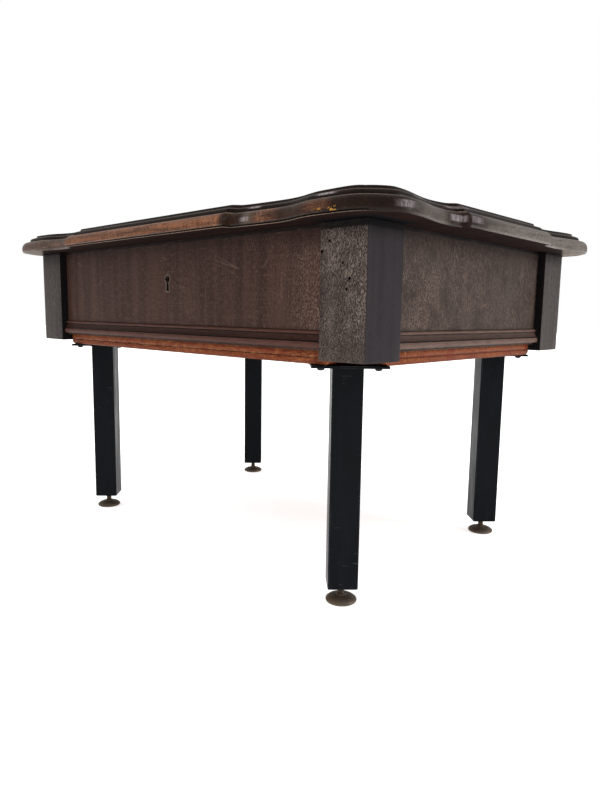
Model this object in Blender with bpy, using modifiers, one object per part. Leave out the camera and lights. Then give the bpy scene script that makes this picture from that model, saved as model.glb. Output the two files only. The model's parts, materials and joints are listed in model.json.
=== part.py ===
"""Low glazed display case on steel legs, in metres, +Z up, origin on the floor under its centre.

A panelled wooden box stands on a bottom board and four square-tube legs with levelling feet.
A moulded, glazed lid with a serpentine edge is hinged along the back and locked at the front.
The front faces -Y, and the right-hand side faces +X.
"""

import math

import bmesh
import bpy
from mathutils import Matrix, Vector
from mathutils.geometry import interpolate_bezier

# Clearances
GAP = 0.0003

# Case
CASE_WIDTH = 0.676
CASE_DEPTH = 0.473
CASE_BOTTOM = 0.2866
CASE_HEIGHT = 0.139
CASE_TOP = CASE_BOTTOM + CASE_HEIGHT
POST = 0.060
PANEL_RECESS = 0.011
PANEL_THICK = 0.018
WOOD_EDGE = 0.0008
HALF_W = CASE_WIDTH / 2
HALF_D = CASE_DEPTH / 2

# Bottom board and its lining
BOARD_RECESS = 0.017
BOARD_DROP = 0.006
BOARD_THICK = 0.015
BOARD_BOTTOM = CASE_BOTTOM - BOARD_DROP
BOARD_TOP = BOARD_BOTTOM + BOARD_THICK
LINING_THICK = 0.003

# Base moulding: its foot and its members, measured up from the bottom of the posts
MOULDING_FOOT = 0.0116
MOULDING_STEP = 0.0200
MOULDING_TOP = 0.0310
MOULDING_DEPTH = 0.0088
MOULDING_NECK = 0.0044

# Lid
LID_BOTTOM = CASE_TOP + GAP
LID_THICK = 0.0274
LID_TOP = LID_BOTTOM + LID_THICK
FRONT_RUN_OVERHANG = 0.0337
FRONT_RUN_RIGHT = 0.164
FRONT_RUN_LEFT = 0.193
FRONT_BREAK = 0.0085
FRONT_WAIST_OVERHANG = 0.0208
FRONT_WAIST = 0.111
FRONT_SWELL = 0.036
SIDE_RUN_OVERHANG = 0.0390
SIDE_RUN_FRONT = 0.1125
SIDE_RUN_BACK = 0.098
SIDE_BREAK = 0.0085
SIDE_WAIST_OVERHANG = 0.0277
SIDE_WAIST = 0.099
EAR_OVERHANG = 0.0387
EAR = 0.015
NOSE_X = 0.0174
NOSE_Y = 0.0244
NOSE_SPREAD = 1.17
MITRE_KERF = GAP / 2

# Glazing
OPENING_INSET = 0.040
REBATE = 0.010
REBATE_FLOOR = LID_BOTTOM + 0.018
GLASS_THICK = 0.004
GLASS_PLAY = 0.001

# Legs and feet
LEG_INSET_X = 0.074
LEG_INSET_Y = 0.0645
FRONT_LEFT_LEG_SHIFT = 0.005
LEG_SIDE = 0.035
LEG_WALL = 0.002
LEG_BOTTOM = 0.020
LEG_END_THICK = 0.004
PLATE_SIDE = 0.084
PLATE_THICK = 0.0028
SCREW_PITCH = 0.0625
SCREW_SHANK_R = 0.0022
SCREW_SHANK = 0.014
SCREW_HEAD_R = 0.0045
SCREW_HEAD = 0.0030
STUD_R = 0.0040
STUD_TOP = 0.050
FOOT_R = 0.0184
FOOT_COLLAR_TOP = 0.0095

# Lock
KEYHOLE_DROP = 0.0485
KEYHOLE_R = 0.0050
KEYHOLE_SLOT = 0.0155
LINER_WALL = 0.0012
LINER_DEPTH = 0.0035
LINER_PROUD = 0.0004
LOCK_WIDTH = 0.062
LOCK_HEIGHT = 0.070
LOCK_DEPTH = 0.010
SELVEDGE_DEPTH = 0.0125
SELVEDGE_THICK = 0.0020
BOLT_SIZE = (0.012, 0.005, 0.040)
BOLT_PLAY = 0.0004
STRIKE_SIZE = (0.060, 0.014, 0.0015)
STRIKE_PLAY = 0.0011
BOLT_POCKET = 0.0105

# Hinges
HINGE_X = 0.190
HINGE_SETBACK = 0.0045
HINGE_WIDTH = 0.070
HINGE_LEAF = 0.002
HINGE_LEAF_LENGTH = 0.027
BARREL_R = 0.0035
BARREL_BORE_R = 0.0018
PIN_R = 0.0015
MIDDLE_KNUCKLE = 0.024
KNUCKLE_GAP = 0.0004

BACK_Y = HALF_D
AXIS_Y = BACK_Y + HINGE_SETBACK
AXIS_Z = LID_BOTTOM
FRONT_FACE_Y = -(HALF_D - PANEL_RECESS)
FRONT_INNER_Y = FRONT_FACE_Y + PANEL_THICK
SIDE_FACE_X = HALF_W - PANEL_RECESS
BOLT_Y = FRONT_INNER_Y - GAP - LOCK_DEPTH / 2


# Scene, collections and materials

def clear_scene():
    for obj in list(bpy.data.objects):
        bpy.data.objects.remove(obj, do_unlink=True)


def collection(name):
    made = bpy.data.collections.new(name)
    bpy.context.scene.collection.children.link(made)
    return made


def material(name, colour, roughness, metallic=0.0, alpha=1.0):
    made = bpy.data.materials.new(name)
    made.use_nodes = True
    shader = made.node_tree.nodes["Principled BSDF"]
    shader.inputs["Base Color"].default_value = (*colour, 1.0)
    shader.inputs["Roughness"].default_value = roughness
    shader.inputs["Metallic"].default_value = metallic
    shader.inputs["Alpha"].default_value = alpha
    return made


clear_scene()
PARTS = collection("display_case")
CUTTERS = collection("cutters")
POST_WOOD = material("post_wood", (0.095, 0.075, 0.062), 0.55)
PANEL_WOOD = material("panel_wood", (0.070, 0.045, 0.036), 0.45)
LID_WOOD = material("lid_wood", (0.060, 0.034, 0.022), 0.30)
BOARD_WOOD = material("board_wood", (0.330, 0.110, 0.045), 0.50)
FELT = material("felt", (0.060, 0.110, 0.070), 0.95)
GLASS = material("glass", (0.850, 0.900, 0.880), 0.05, alpha=0.3)
BLACK_STEEL = material("black_steel", (0.010, 0.012, 0.016), 0.40)
FOOT_METAL = material("foot_metal", (0.160, 0.110, 0.070), 0.50, metallic=0.8)
SCREW_METAL = material("screw_metal", (0.060, 0.050, 0.045), 0.45, metallic=0.8)
BRASS = material("brass", (0.520, 0.380, 0.180), 0.40, metallic=1.0)


# Shapes

def add(name, bm, finish=None):
    """Links a bmesh as an object: a part with a finish, or a cutter without one."""
    mesh = bpy.data.meshes.new(name)
    bm.to_mesh(mesh)
    bm.free()
    obj = bpy.data.objects.new(name, mesh)
    if finish is None:
        CUTTERS.objects.link(obj)
        obj.hide_render = True
        obj.display_type = "WIRE"
    else:
        PARTS.objects.link(obj)
        mesh.materials.append(finish)
    return obj


def box_into(bm, size, centre=(0.0, 0.0, 0.0)):
    place = Matrix.Translation(centre) @ Matrix.Diagonal((*size, 1.0))
    bmesh.ops.create_cube(bm, size=1.0, matrix=place)


def rod_into(bm, radius, low, high, axis, segments):
    """A cylinder between two values along axis "X" or "Z", centred on the axis line."""
    turn = Matrix.Rotation(math.pi / 2, 4, "Y") if axis == "X" else Matrix.Identity(4)
    middle = Matrix.Translation((0.0, 0.0, (low + high) / 2))
    bmesh.ops.create_cone(bm, cap_ends=True, segments=segments, radius1=radius, radius2=radius,
                          depth=high - low, matrix=turn @ middle)


def box(name, low, high, finish=None, edge=0.0):
    """A box from its lowest to its highest corner, with its origin at its centre."""
    low, high = Vector(low), Vector(high)
    bm = bmesh.new()
    box_into(bm, high - low)
    obj = add(name, bm, finish)
    obj.location = (low + high) / 2
    if edge:
        bevel = obj.modifiers.new("edge", "BEVEL")
        bevel.width = edge
        bevel.segments = 1
        bevel.limit_method = "ANGLE"
    return obj


def prism(name, outline, low, high, finish=None, axis="Z"):
    """A flat outline of (across, up) points, extruded from low to high along an axis."""
    bm = bmesh.new()
    face = bm.faces.new([bm.verts.new((u, v, low)) for u, v in outline])
    grown = bmesh.ops.extrude_face_region(bm, geom=[face])["geom"]
    raised = [item for item in grown if isinstance(item, bmesh.types.BMVert)]
    bmesh.ops.translate(bm, vec=(0.0, 0.0, high - low), verts=raised)
    if axis == "Y":
        turn = Matrix(((1, 0, 0), (0, 0, 1), (0, 1, 0)))
    elif axis == "X":
        turn = Matrix(((0, 0, 1), (1, 0, 0), (0, 1, 0)))
    else:
        turn = Matrix.Identity(3)
    bmesh.ops.transform(bm, matrix=turn.to_4x4(), verts=bm.verts)
    bmesh.ops.recalc_face_normals(bm, faces=bm.faces)
    return add(name, bm, finish)


def turned_mesh(name, profile):
    """The profile of a turned piece: (radius, height) points from its top down its outer side."""
    mesh = bpy.data.meshes.new(name)
    edges = [(i, i + 1) for i in range(len(profile) - 1)]
    mesh.from_pydata([(r, 0.0, z) for r, z in profile], edges, [])
    return mesh


def turned(name, mesh, place, finish, steps):
    if not mesh.materials:
        mesh.materials.append(finish)
    obj = bpy.data.objects.new(name, mesh)
    PARTS.objects.link(obj)
    obj.location = place
    screw = obj.modifiers.new("turn", "SCREW")
    screw.steps = screw.render_steps = steps
    screw.use_merge_vertices = True
    screw.merge_threshold = 0.00001
    screw.use_smooth_shade = True
    return obj


def combine(obj, other, operation="DIFFERENCE"):
    boolean = obj.modifiers.new(f"{operation.lower()}_{other.name}", "BOOLEAN")
    boolean.operation = operation
    boolean.object = other


def corners():
    """(name, x sign, y sign) of the four corners."""
    for y_name, sy in (("front", -1), ("back", 1)):
        for x_name, sx in (("left", -1), ("right", 1)):
            yield f"{y_name}_{x_name}", sx, sy


# Case: posts, panels, mouldings, bottom board

def make_posts():
    for name, sx, sy in corners():
        xs = sorted((sx * (HALF_W - POST), sx * HALF_W))
        ys = sorted((sy * (HALF_D - POST), sy * HALF_D))
        box(f"post_{name}", (xs[0], ys[0], CASE_BOTTOM), (xs[1], ys[1], CASE_TOP), POST_WOOD, WOOD_EDGE)


def post_clearance():
    """One cutter of all four posts, a gap larger, from below the bottom board up."""
    bm = bmesh.new()
    side = POST + 2 * GAP
    height = CASE_HEIGHT + 4 * BOARD_DROP
    for _, sx, sy in corners():
        centre = (sx * (HALF_W - POST / 2), sy * (HALF_D - POST / 2), CASE_BOTTOM + CASE_HEIGHT / 2)
        box_into(bm, (side, side, height), centre)
    return add("post_clearance", bm)


def make_panels():
    """The front and the sides stand back from the posts; the back is flush with them for the hinges."""
    reach_x = HALF_W - POST - GAP
    reach_y = HALF_D - POST - GAP
    low = BOARD_TOP + GAP
    front = box("front_panel", (-reach_x, FRONT_FACE_Y, low), (reach_x, FRONT_INNER_Y, CASE_TOP), PANEL_WOOD)
    back = box("back_panel", (-reach_x, BACK_Y - PANEL_THICK, low), (reach_x, BACK_Y, CASE_TOP), PANEL_WOOD)
    for name, sx in (("left", -1), ("right", 1)):
        xs = sorted((sx * SIDE_FACE_X, sx * (SIDE_FACE_X - PANEL_THICK)))
        box(f"{name}_panel", (xs[0], -reach_y, low), (xs[1], reach_y, CASE_TOP), PANEL_WOOD)
    return front, back


def moulding_profile():
    """(depth, height) points of the base moulding: a bead under a cove and a fillet."""
    bead_mid = (MOULDING_FOOT + MOULDING_STEP) / 2
    bead_half = (MOULDING_STEP - MOULDING_FOOT) / 2
    bead_flat = MOULDING_DEPTH - bead_half * 0.5
    points = [(0.0, MOULDING_FOOT)]
    for step in range(7):
        angle = math.pi * (step / 6 - 0.5)
        points.append((bead_flat + bead_half * 0.5 * math.cos(angle), bead_mid + bead_half * math.sin(angle)))
    cove = MOULDING_TOP - MOULDING_STEP
    for share_in, share_up in ((1.0, 0.06), (0.84, 0.30), (0.74, 0.62), (0.66, 0.74), (0.30, 1.0)):
        points.append((MOULDING_NECK * share_in, MOULDING_STEP + cove * share_up))
    points.append((0.0, MOULDING_TOP))
    return points


def make_mouldings():
    profile = moulding_profile()
    reach_x = HALF_W - POST - GAP
    reach_y = HALF_D - POST - GAP
    front = [(FRONT_FACE_Y - GAP - depth, CASE_BOTTOM + height) for depth, height in profile]
    prism("front_base_moulding", front, -reach_x, reach_x, PANEL_WOOD, "X")
    for name, sx in (("left", -1), ("right", 1)):
        side = [(sx * (SIDE_FACE_X + GAP + depth), CASE_BOTTOM + height) for depth, height in profile]
        prism(f"{name}_base_moulding", side, -reach_y, reach_y, PANEL_WOOD, "Y")


def make_bottom(posts, screw_holes):
    reach_x = HALF_W - BOARD_RECESS
    reach_y = HALF_D - BOARD_RECESS
    board = box("bottom_board", (-reach_x, -reach_y, BOARD_BOTTOM), (reach_x, reach_y, BOARD_TOP), BOARD_WOOD)
    combine(board, posts)
    combine(board, screw_holes)
    inner_x = SIDE_FACE_X - PANEL_THICK - GAP
    low = (-inner_x, FRONT_INNER_Y + GAP, BOARD_TOP + GAP)
    high = (inner_x, BACK_Y - PANEL_THICK - GAP, BOARD_TOP + GAP + LINING_THICK)
    combine(box("lining_board", low, high, FELT), posts)


# Legs, plates, screws and feet

def leg_centres():
    """(leg name, x, y); the front left leg is fixed a little nearer the middle than the others."""
    for name, sx, sy in corners():
        shift = FRONT_LEFT_LEG_SHIFT if name == "front_left" else 0.0
        yield name, sx * (HALF_W - LEG_INSET_X) + shift, sy * (HALF_D - LEG_INSET_Y)


def screw_places():
    """(leg name, number, x, y) of every plate screw: a square pattern turned 45 degrees with the leg."""
    reach = SCREW_PITCH / math.sqrt(2)
    for name, x, y in leg_centres():
        for number, (dx, dy) in enumerate(((reach, 0), (0, reach), (-reach, 0), (0, -reach)), 1):
            yield name, number, x + dx, y + dy


def screw_hole_cutter():
    bm = bmesh.new()
    top = BOARD_BOTTOM + SCREW_SHANK
    bottom = BOARD_BOTTOM - 2 * PLATE_THICK
    for _, _, x, y in screw_places():
        place = Matrix.Translation((x, y, (top + bottom) / 2))
        bmesh.ops.create_cone(bm, cap_ends=True, segments=12, radius1=SCREW_SHANK_R + GAP,
                              radius2=SCREW_SHANK_R + GAP, depth=top - bottom, matrix=place)
    return add("screw_holes", bm)


def make_leg(name, x, y):
    """A square tube, turned 45 degrees, with a drilled end that the foot's stud screws into."""
    top = BOARD_BOTTOM - GAP - PLATE_THICK - GAP
    half = LEG_SIDE / 2
    bore = half - LEG_WALL
    middle = (x, y, (top + LEG_BOTTOM) / 2)
    turn = math.pi / 4
    leg = box(f"leg_{name}", (-half, -half, LEG_BOTTOM), (half, half, top), BLACK_STEEL, 0.0012)
    hollow = box(f"leg_hollow_{name}", (-bore, -bore, LEG_BOTTOM + LEG_END_THICK), (bore, bore, top + LEG_WALL))
    leg.location = middle
    hollow.location.xy = (x, y)
    bm = bmesh.new()
    rod_into(bm, STUD_R + GAP, -LEG_WALL, LEG_END_THICK + LEG_WALL, "Z", 16)
    stud_hole = add(f"leg_stud_hole_{name}", bm)
    stud_hole.location = (x, y, LEG_BOTTOM)
    leg.rotation_euler.z = turn
    hollow.rotation_euler.z = turn
    combine(leg, hollow)
    combine(leg, stud_hole)


def make_legs(screw_holes):
    plate_top = BOARD_BOTTOM - GAP
    half = PLATE_SIDE / 2
    for name, x, y in leg_centres():
        make_leg(name, x, y)
        plate = box(f"leg_plate_{name}", (-half, -half, plate_top - PLATE_THICK), (half, half, plate_top), BLACK_STEEL)
        plate.location.xy = (x, y)
        plate.rotation_euler.z = math.pi / 4
        combine(plate, screw_holes)


def make_screws():
    under = -GAP
    profile = [
        (0.0, SCREW_SHANK + PLATE_THICK - 0.002),
        (SCREW_SHANK_R, SCREW_SHANK + PLATE_THICK - 0.004),
        (SCREW_SHANK_R, under),
        (SCREW_HEAD_R, under),
        (SCREW_HEAD_R * 0.92, under - SCREW_HEAD * 0.55),
        (SCREW_HEAD_R * 0.55, under - SCREW_HEAD * 0.92),
        (0.0, under - SCREW_HEAD),
    ]
    mesh = turned_mesh("leg_screw", profile)
    z = BOARD_BOTTOM - GAP - PLATE_THICK
    for name, number, x, y in screw_places():
        turned(f"leg_screw_{name}_{number}", mesh, (x, y, z), SCREW_METAL, 12)


def make_feet():
    """Levelling feet: a threaded stud, a collar and a domed disc, each turned as one piece."""
    profile = [
        (0.0, STUD_TOP),
        (STUD_R * 0.8, STUD_TOP),
        (STUD_R, STUD_TOP - STUD_R * 0.4),
        (STUD_R, FOOT_COLLAR_TOP),
        (STUD_R * 1.4, FOOT_COLLAR_TOP),
        (STUD_R * 1.4, FOOT_COLLAR_TOP - 0.0015),
        (FOOT_R * 0.60, 0.0070),
        (FOOT_R * 0.85, 0.0055),
        (FOOT_R, 0.0032),
        (FOOT_R, 0.0014),
        (FOOT_R * 0.93, 0.0),
        (0.0, 0.0),
    ]
    mesh = turned_mesh("foot", profile)
    for name, x, y in leg_centres():
        turned(f"foot_{name}", mesh, (x, y, 0.0), FOOT_METAL, 20)


# Lid

def lid_quarter(run_x, run_y):
    """Knots of the lid's outline from the middle of the front to the middle of the right side.

    The proud middle runs of the two edges end at x = run_x and y = -run_y. Each knot is (point, way in,
    way out, handle in, handle out, inward), where inward is the way that the upper members of the edge
    are set back from the outline there, for each metre of set-back.
    """
    along_x, along_y = Vector((1, 0)), Vector((0, 1))
    diagonal = Vector((1, 1)).normalized()
    front_y = -(HALF_D + FRONT_RUN_OVERHANG)
    side_x = HALF_W + SIDE_RUN_OVERHANG
    to_back, to_middle = Vector((0, 1)), Vector((-1, 0))
    front_break, side_break = Vector((-0.40, 1)), Vector((-1, 0.40))
    nose = Vector((-NOSE_SPREAD, NOSE_SPREAD)) * math.sqrt(0.5)
    return [
        ((0.0, front_y), along_x, along_x, 0.0, 0.030, to_back),
        ((run_x - 0.030, front_y), along_x, along_x, 0.030, 0.010, to_back),
        ((run_x, front_y), along_x, along_x, 0.010, 0.0, front_break),
        ((run_x + 0.0015, front_y + FRONT_BREAK), along_x, Vector((0.97, 0.24)), 0.0, 0.012, to_back),
        ((HALF_W - FRONT_WAIST, -(HALF_D + FRONT_WAIST_OVERHANG)), along_x, along_x, 0.016, 0.036, to_back),
        ((HALF_W - FRONT_SWELL, front_y), along_x, along_x, 0.032, 0.024, Vector((-0.15, 1))),
        ((HALF_W + NOSE_X, -(HALF_D + NOSE_Y)), diagonal, diagonal, 0.014, 0.014, nose),
        ((HALF_W + EAR_OVERHANG, -(HALF_D - EAR)), along_y, along_y, 0.012, 0.030, Vector((-1, 0.15))),
        ((HALF_W + SIDE_WAIST_OVERHANG, -(HALF_D - SIDE_WAIST)), along_y, along_y, 0.030, 0.008, to_middle),
        ((side_x - SIDE_BREAK, -run_y - 0.0015), Vector((0.24, 0.97)), along_y, 0.008, 0.0, to_middle),
        ((side_x, -run_y), along_y, along_y, 0.0, 0.010, side_break),
        ((side_x, -run_y + 0.030), along_y, along_y, 0.010, 0.020, to_middle),
        ((side_x, 0.0), along_y, along_y, 0.020, 0.0, to_middle),
    ]


def quarter_outline(run_x, run_y):
    """The (point, inward) pairs of one quarter of the outline."""
    counts = (1, 2, 1, 5, 7, 6, 5, 6, 3, 1, 2, 1)
    knots = lid_quarter(run_x, run_y)
    quarter = []
    for (start, _, leaving, _, reach, first), (end, arriving, _, back, _, last), count in zip(knots, knots[1:], counts):
        start, end = Vector(start), Vector(end)
        curve = interpolate_bezier(start, start + leaving * reach, end - arriving * back, end, count + 1)
        quarter += [(point.xy, first.lerp(last, i / count)) for i, point in enumerate(curve[:-1])]
    quarter.append((Vector(knots[-1][0]), knots[-1][5]))
    return quarter


def flipped(points, x, y):
    """A quarter mirrored in x or y, and turned round so that the outline stays anticlockwise."""
    return [(Vector((p.x * x, p.y * y)), Vector((n.x * x, n.y * y))) for p, n in reversed(points)]


def lid_outline():
    """The lid's outline, anticlockwise from above, as (point, inward); its proud runs aren't quite centred."""
    front_right = quarter_outline(FRONT_RUN_RIGHT, SIDE_RUN_FRONT)
    back_right = flipped(quarter_outline(FRONT_RUN_RIGHT, SIDE_RUN_BACK), 1, -1)
    back_left = flipped(flipped(quarter_outline(FRONT_RUN_LEFT, SIDE_RUN_BACK), 1, -1), -1, 1)
    front_left = flipped(quarter_outline(FRONT_RUN_LEFT, SIDE_RUN_FRONT), -1, 1)
    return front_right + back_right[1:] + back_left[1:] + front_left[1:-1]


def lid_profile():
    """(set-back, height) points of the lid's edge: quirk, ovolo, fillet, ovolo, fillet and cove."""
    return [
        (0.0030, 0.0), (0.0030, 0.0012), (0.0006, 0.0015), (0.0, 0.0034), (0.0004, 0.0085), (0.0026, 0.0130),
        (0.0071, 0.0163), (0.0112, 0.0172), (0.0116, 0.0190), (0.0136, 0.0200), (0.0156, 0.0228),
        (0.0176, 0.0236), (0.0204, 0.0258), (0.0220, LID_THICK),
    ]


def lid_blank(name):
    """The whole moulded plate, lofted through its edge profile; each rail is cut out of it."""
    outline = lid_outline()
    bm = bmesh.new()
    rings = []
    for setback, height in lid_profile():
        rings.append([bm.verts.new((*(p + inward * setback), LID_BOTTOM + height)) for p, inward in outline])
    for lower, upper in zip(rings, rings[1:]):
        for i in range(len(outline)):
            j = (i + 1) % len(outline)
            bm.faces.new((lower[i], lower[j], upper[j], upper[i]))
    bm.faces.new(reversed(rings[0]))
    bm.faces.new(rings[-1])
    return add(name, bm, LID_WOOD)


def opening_half():
    """Half sizes of the glazed opening: its corners lie on the 45 degree mitres of the lid."""
    half_x = HALF_W - OPENING_INSET
    return half_x, half_x - (HALF_W + NOSE_X) + (HALF_D + NOSE_Y)


def mitre_cutters():
    """One wedge for each rail, from the opening to beyond the lid, bounded by the mitres."""
    half_x, half_y = opening_half()
    far = 0.25
    kerf = MITRE_KERF * math.sqrt(2)
    low, high = LID_BOTTOM - 0.01, LID_TOP + 0.01
    x_in, x_out = half_x - 0.1, half_x + far
    y_in, y_out = half_y - 0.1, half_y + far
    wedges = {}
    for name, sign in (("front", -1), ("back", 1)):
        points = [(-x_in + kerf, sign * y_in), (x_in - kerf, sign * y_in),
                  (x_out - kerf, sign * y_out), (-x_out + kerf, sign * y_out)]
        wedges[name] = prism(f"mitre_{name}", points, low, high)
    for name, sign in (("left", -1), ("right", 1)):
        points = [(sign * x_in, -y_in + kerf), (sign * x_in, y_in - kerf),
                  (sign * x_out, y_out - kerf), (sign * x_out, -y_out + kerf)]
        wedges[name] = prism(f"mitre_{name}", points, low, high)
    return wedges


def make_rails():
    half_x, half_y = opening_half()
    low, high = LID_BOTTOM - 0.01, LID_TOP + 0.01
    opening = box("lid_opening", (-half_x, -half_y, low), (half_x, half_y, high))
    wide_x, wide_y = half_x + REBATE, half_y + REBATE
    rebate = box("lid_rebate", (-wide_x, -wide_y, REBATE_FLOOR), (wide_x, wide_y, high))
    rails = {}
    for name, wedge in mitre_cutters().items():
        rail = lid_blank(f"lid_rail_{name}")
        combine(rail, wedge, "INTERSECT")
        combine(rail, opening)
        combine(rail, rebate)
        rails[name] = rail
    return rails


def make_glazing():
    half_x, half_y = opening_half()
    pane_x, pane_y = half_x + REBATE - GLASS_PLAY, half_y + REBATE - GLASS_PLAY
    low = REBATE_FLOOR + GAP
    high = low + GLASS_THICK
    pieces = [box("glass_pane", (-pane_x, -pane_y, low), (pane_x, pane_y, high), GLASS)]
    out_x, out_y = half_x + REBATE - GAP, half_y + REBATE - GAP
    kerf = MITRE_KERF * math.sqrt(2)
    for name, sign in (("front", -1), ("back", 1)):
        points = [(-out_x + kerf, sign * out_y), (out_x - kerf, sign * out_y),
                  (half_x - kerf, sign * half_y), (-half_x + kerf, sign * half_y)]
        pieces.append(prism(f"glazing_bead_{name}", points, high + GAP, LID_TOP, LID_WOOD))
    for name, sign in (("left", -1), ("right", 1)):
        points = [(sign * out_x, -out_y + kerf), (sign * out_x, out_y - kerf),
                  (sign * half_x, half_y - kerf), (sign * half_x, -half_y + kerf)]
        pieces.append(prism(f"glazing_bead_{name}", points, high + GAP, LID_TOP, LID_WOOD))
    return pieces


# Lock

def keyhole(grow):
    """(x, z) outline of the keyhole, grown outwards: a round hole over a slot that widens downwards."""
    centre = CASE_TOP - KEYHOLE_DROP
    neck = 0.0022 + grow
    foot = 0.0033 + grow
    radius = KEYHOLE_R + grow
    join = math.asin(neck / radius)
    points = [(-foot, centre - KEYHOLE_SLOT - grow), (foot, centre - KEYHOLE_SLOT - grow)]
    for step in range(15):
        angle = -math.pi / 2 + join + (2 * math.pi - 2 * join) * step / 14
        points.append((radius * math.cos(angle), centre + radius * math.sin(angle)))
    return points


def make_lock(front_panel, front_rail):
    top = CASE_TOP
    inner = FRONT_INNER_Y - GAP
    half = LOCK_WIDTH / 2
    section = [
        (inner, top - LOCK_HEIGHT), (inner, top), (inner - SELVEDGE_DEPTH, top),
        (inner - SELVEDGE_DEPTH, top - SELVEDGE_THICK), (inner - LOCK_DEPTH, top - SELVEDGE_THICK),
        (inner - LOCK_DEPTH, top - LOCK_HEIGHT),
    ]
    lock_case = prism("lock_case", section, -half, half, BRASS, "X")
    body = box("lock_mortise", (-half - GAP, inner - LOCK_DEPTH - GAP, top - LOCK_HEIGHT - GAP),
               (half + GAP, FRONT_INNER_Y + 0.01, top + 0.01))
    ledge = box("selvedge_recess", (-half - GAP, inner - SELVEDGE_DEPTH - GAP, top - SELVEDGE_THICK - GAP),
                (half + GAP, FRONT_INNER_Y + 0.01, top + 0.01))
    combine(front_panel, body)
    combine(front_panel, ledge)
    liner_hole = prism("liner_hole", keyhole(LINER_WALL + GAP), FRONT_FACE_Y - 0.01, inner - 0.002, axis="Y")
    combine(front_panel, liner_hole)
    liner = prism("keyhole_liner", keyhole(LINER_WALL), FRONT_FACE_Y - LINER_PROUD,
                  FRONT_FACE_Y + LINER_DEPTH, BRASS, "Y")
    key_slot = prism("key_slot", keyhole(0.0), FRONT_FACE_Y - 0.01, BOLT_Y, axis="Y")
    combine(liner, key_slot)
    combine(lock_case, key_slot)
    width, depth, height = BOLT_SIZE
    bolt_top = top - 0.0005
    bolt = box("lock_bolt", (-width / 2, BOLT_Y - depth / 2, bolt_top - height),
               (width / 2, BOLT_Y + depth / 2, bolt_top), BRASS, 0.0005)
    play = BOLT_PLAY
    channel = box("bolt_channel", (-width / 2 - play, BOLT_Y - depth / 2 - play, bolt_top - height - play),
                  (width / 2 + play, BOLT_Y + depth / 2 + play, top + 0.01))
    combine(lock_case, channel)
    return bolt, make_strike(front_rail)


def make_strike(front_rail):
    """The strike plate, let into the underside of the lid, with a pocket for the bolt above it."""
    plate_x, plate_y, plate_z = (STRIKE_SIZE[0] / 2, STRIKE_SIZE[1] / 2, STRIKE_SIZE[2])
    strike = box("strike_plate", (-plate_x, BOLT_Y - plate_y, LID_BOTTOM),
                 (plate_x, BOLT_Y + plate_y, LID_BOTTOM + plate_z), BRASS)
    recess = box("strike_recess", (-plate_x - GAP, BOLT_Y - plate_y - GAP, LID_BOTTOM - 0.01),
                 (plate_x + GAP, BOLT_Y + plate_y + GAP, LID_BOTTOM + plate_z + GAP))
    slot_x = BOLT_SIZE[0] / 2 + STRIKE_PLAY
    slot_y = BOLT_SIZE[1] / 2 + STRIKE_PLAY
    pocket = box("bolt_pocket", (-slot_x, BOLT_Y - slot_y, LID_BOTTOM - 0.01),
                 (slot_x, BOLT_Y + slot_y, LID_BOTTOM + BOLT_POCKET))
    combine(strike, pocket)
    combine(front_rail, recess)
    combine(front_rail, pocket)
    return strike


# Hinges

def rods(name, radius, spans, segments):
    """One cutter of coaxial cylinders along X, one for each (low, high) span."""
    bm = bmesh.new()
    for low, high in spans:
        rod_into(bm, radius, low, high, "X", segments)
    return add(name, bm)


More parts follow.
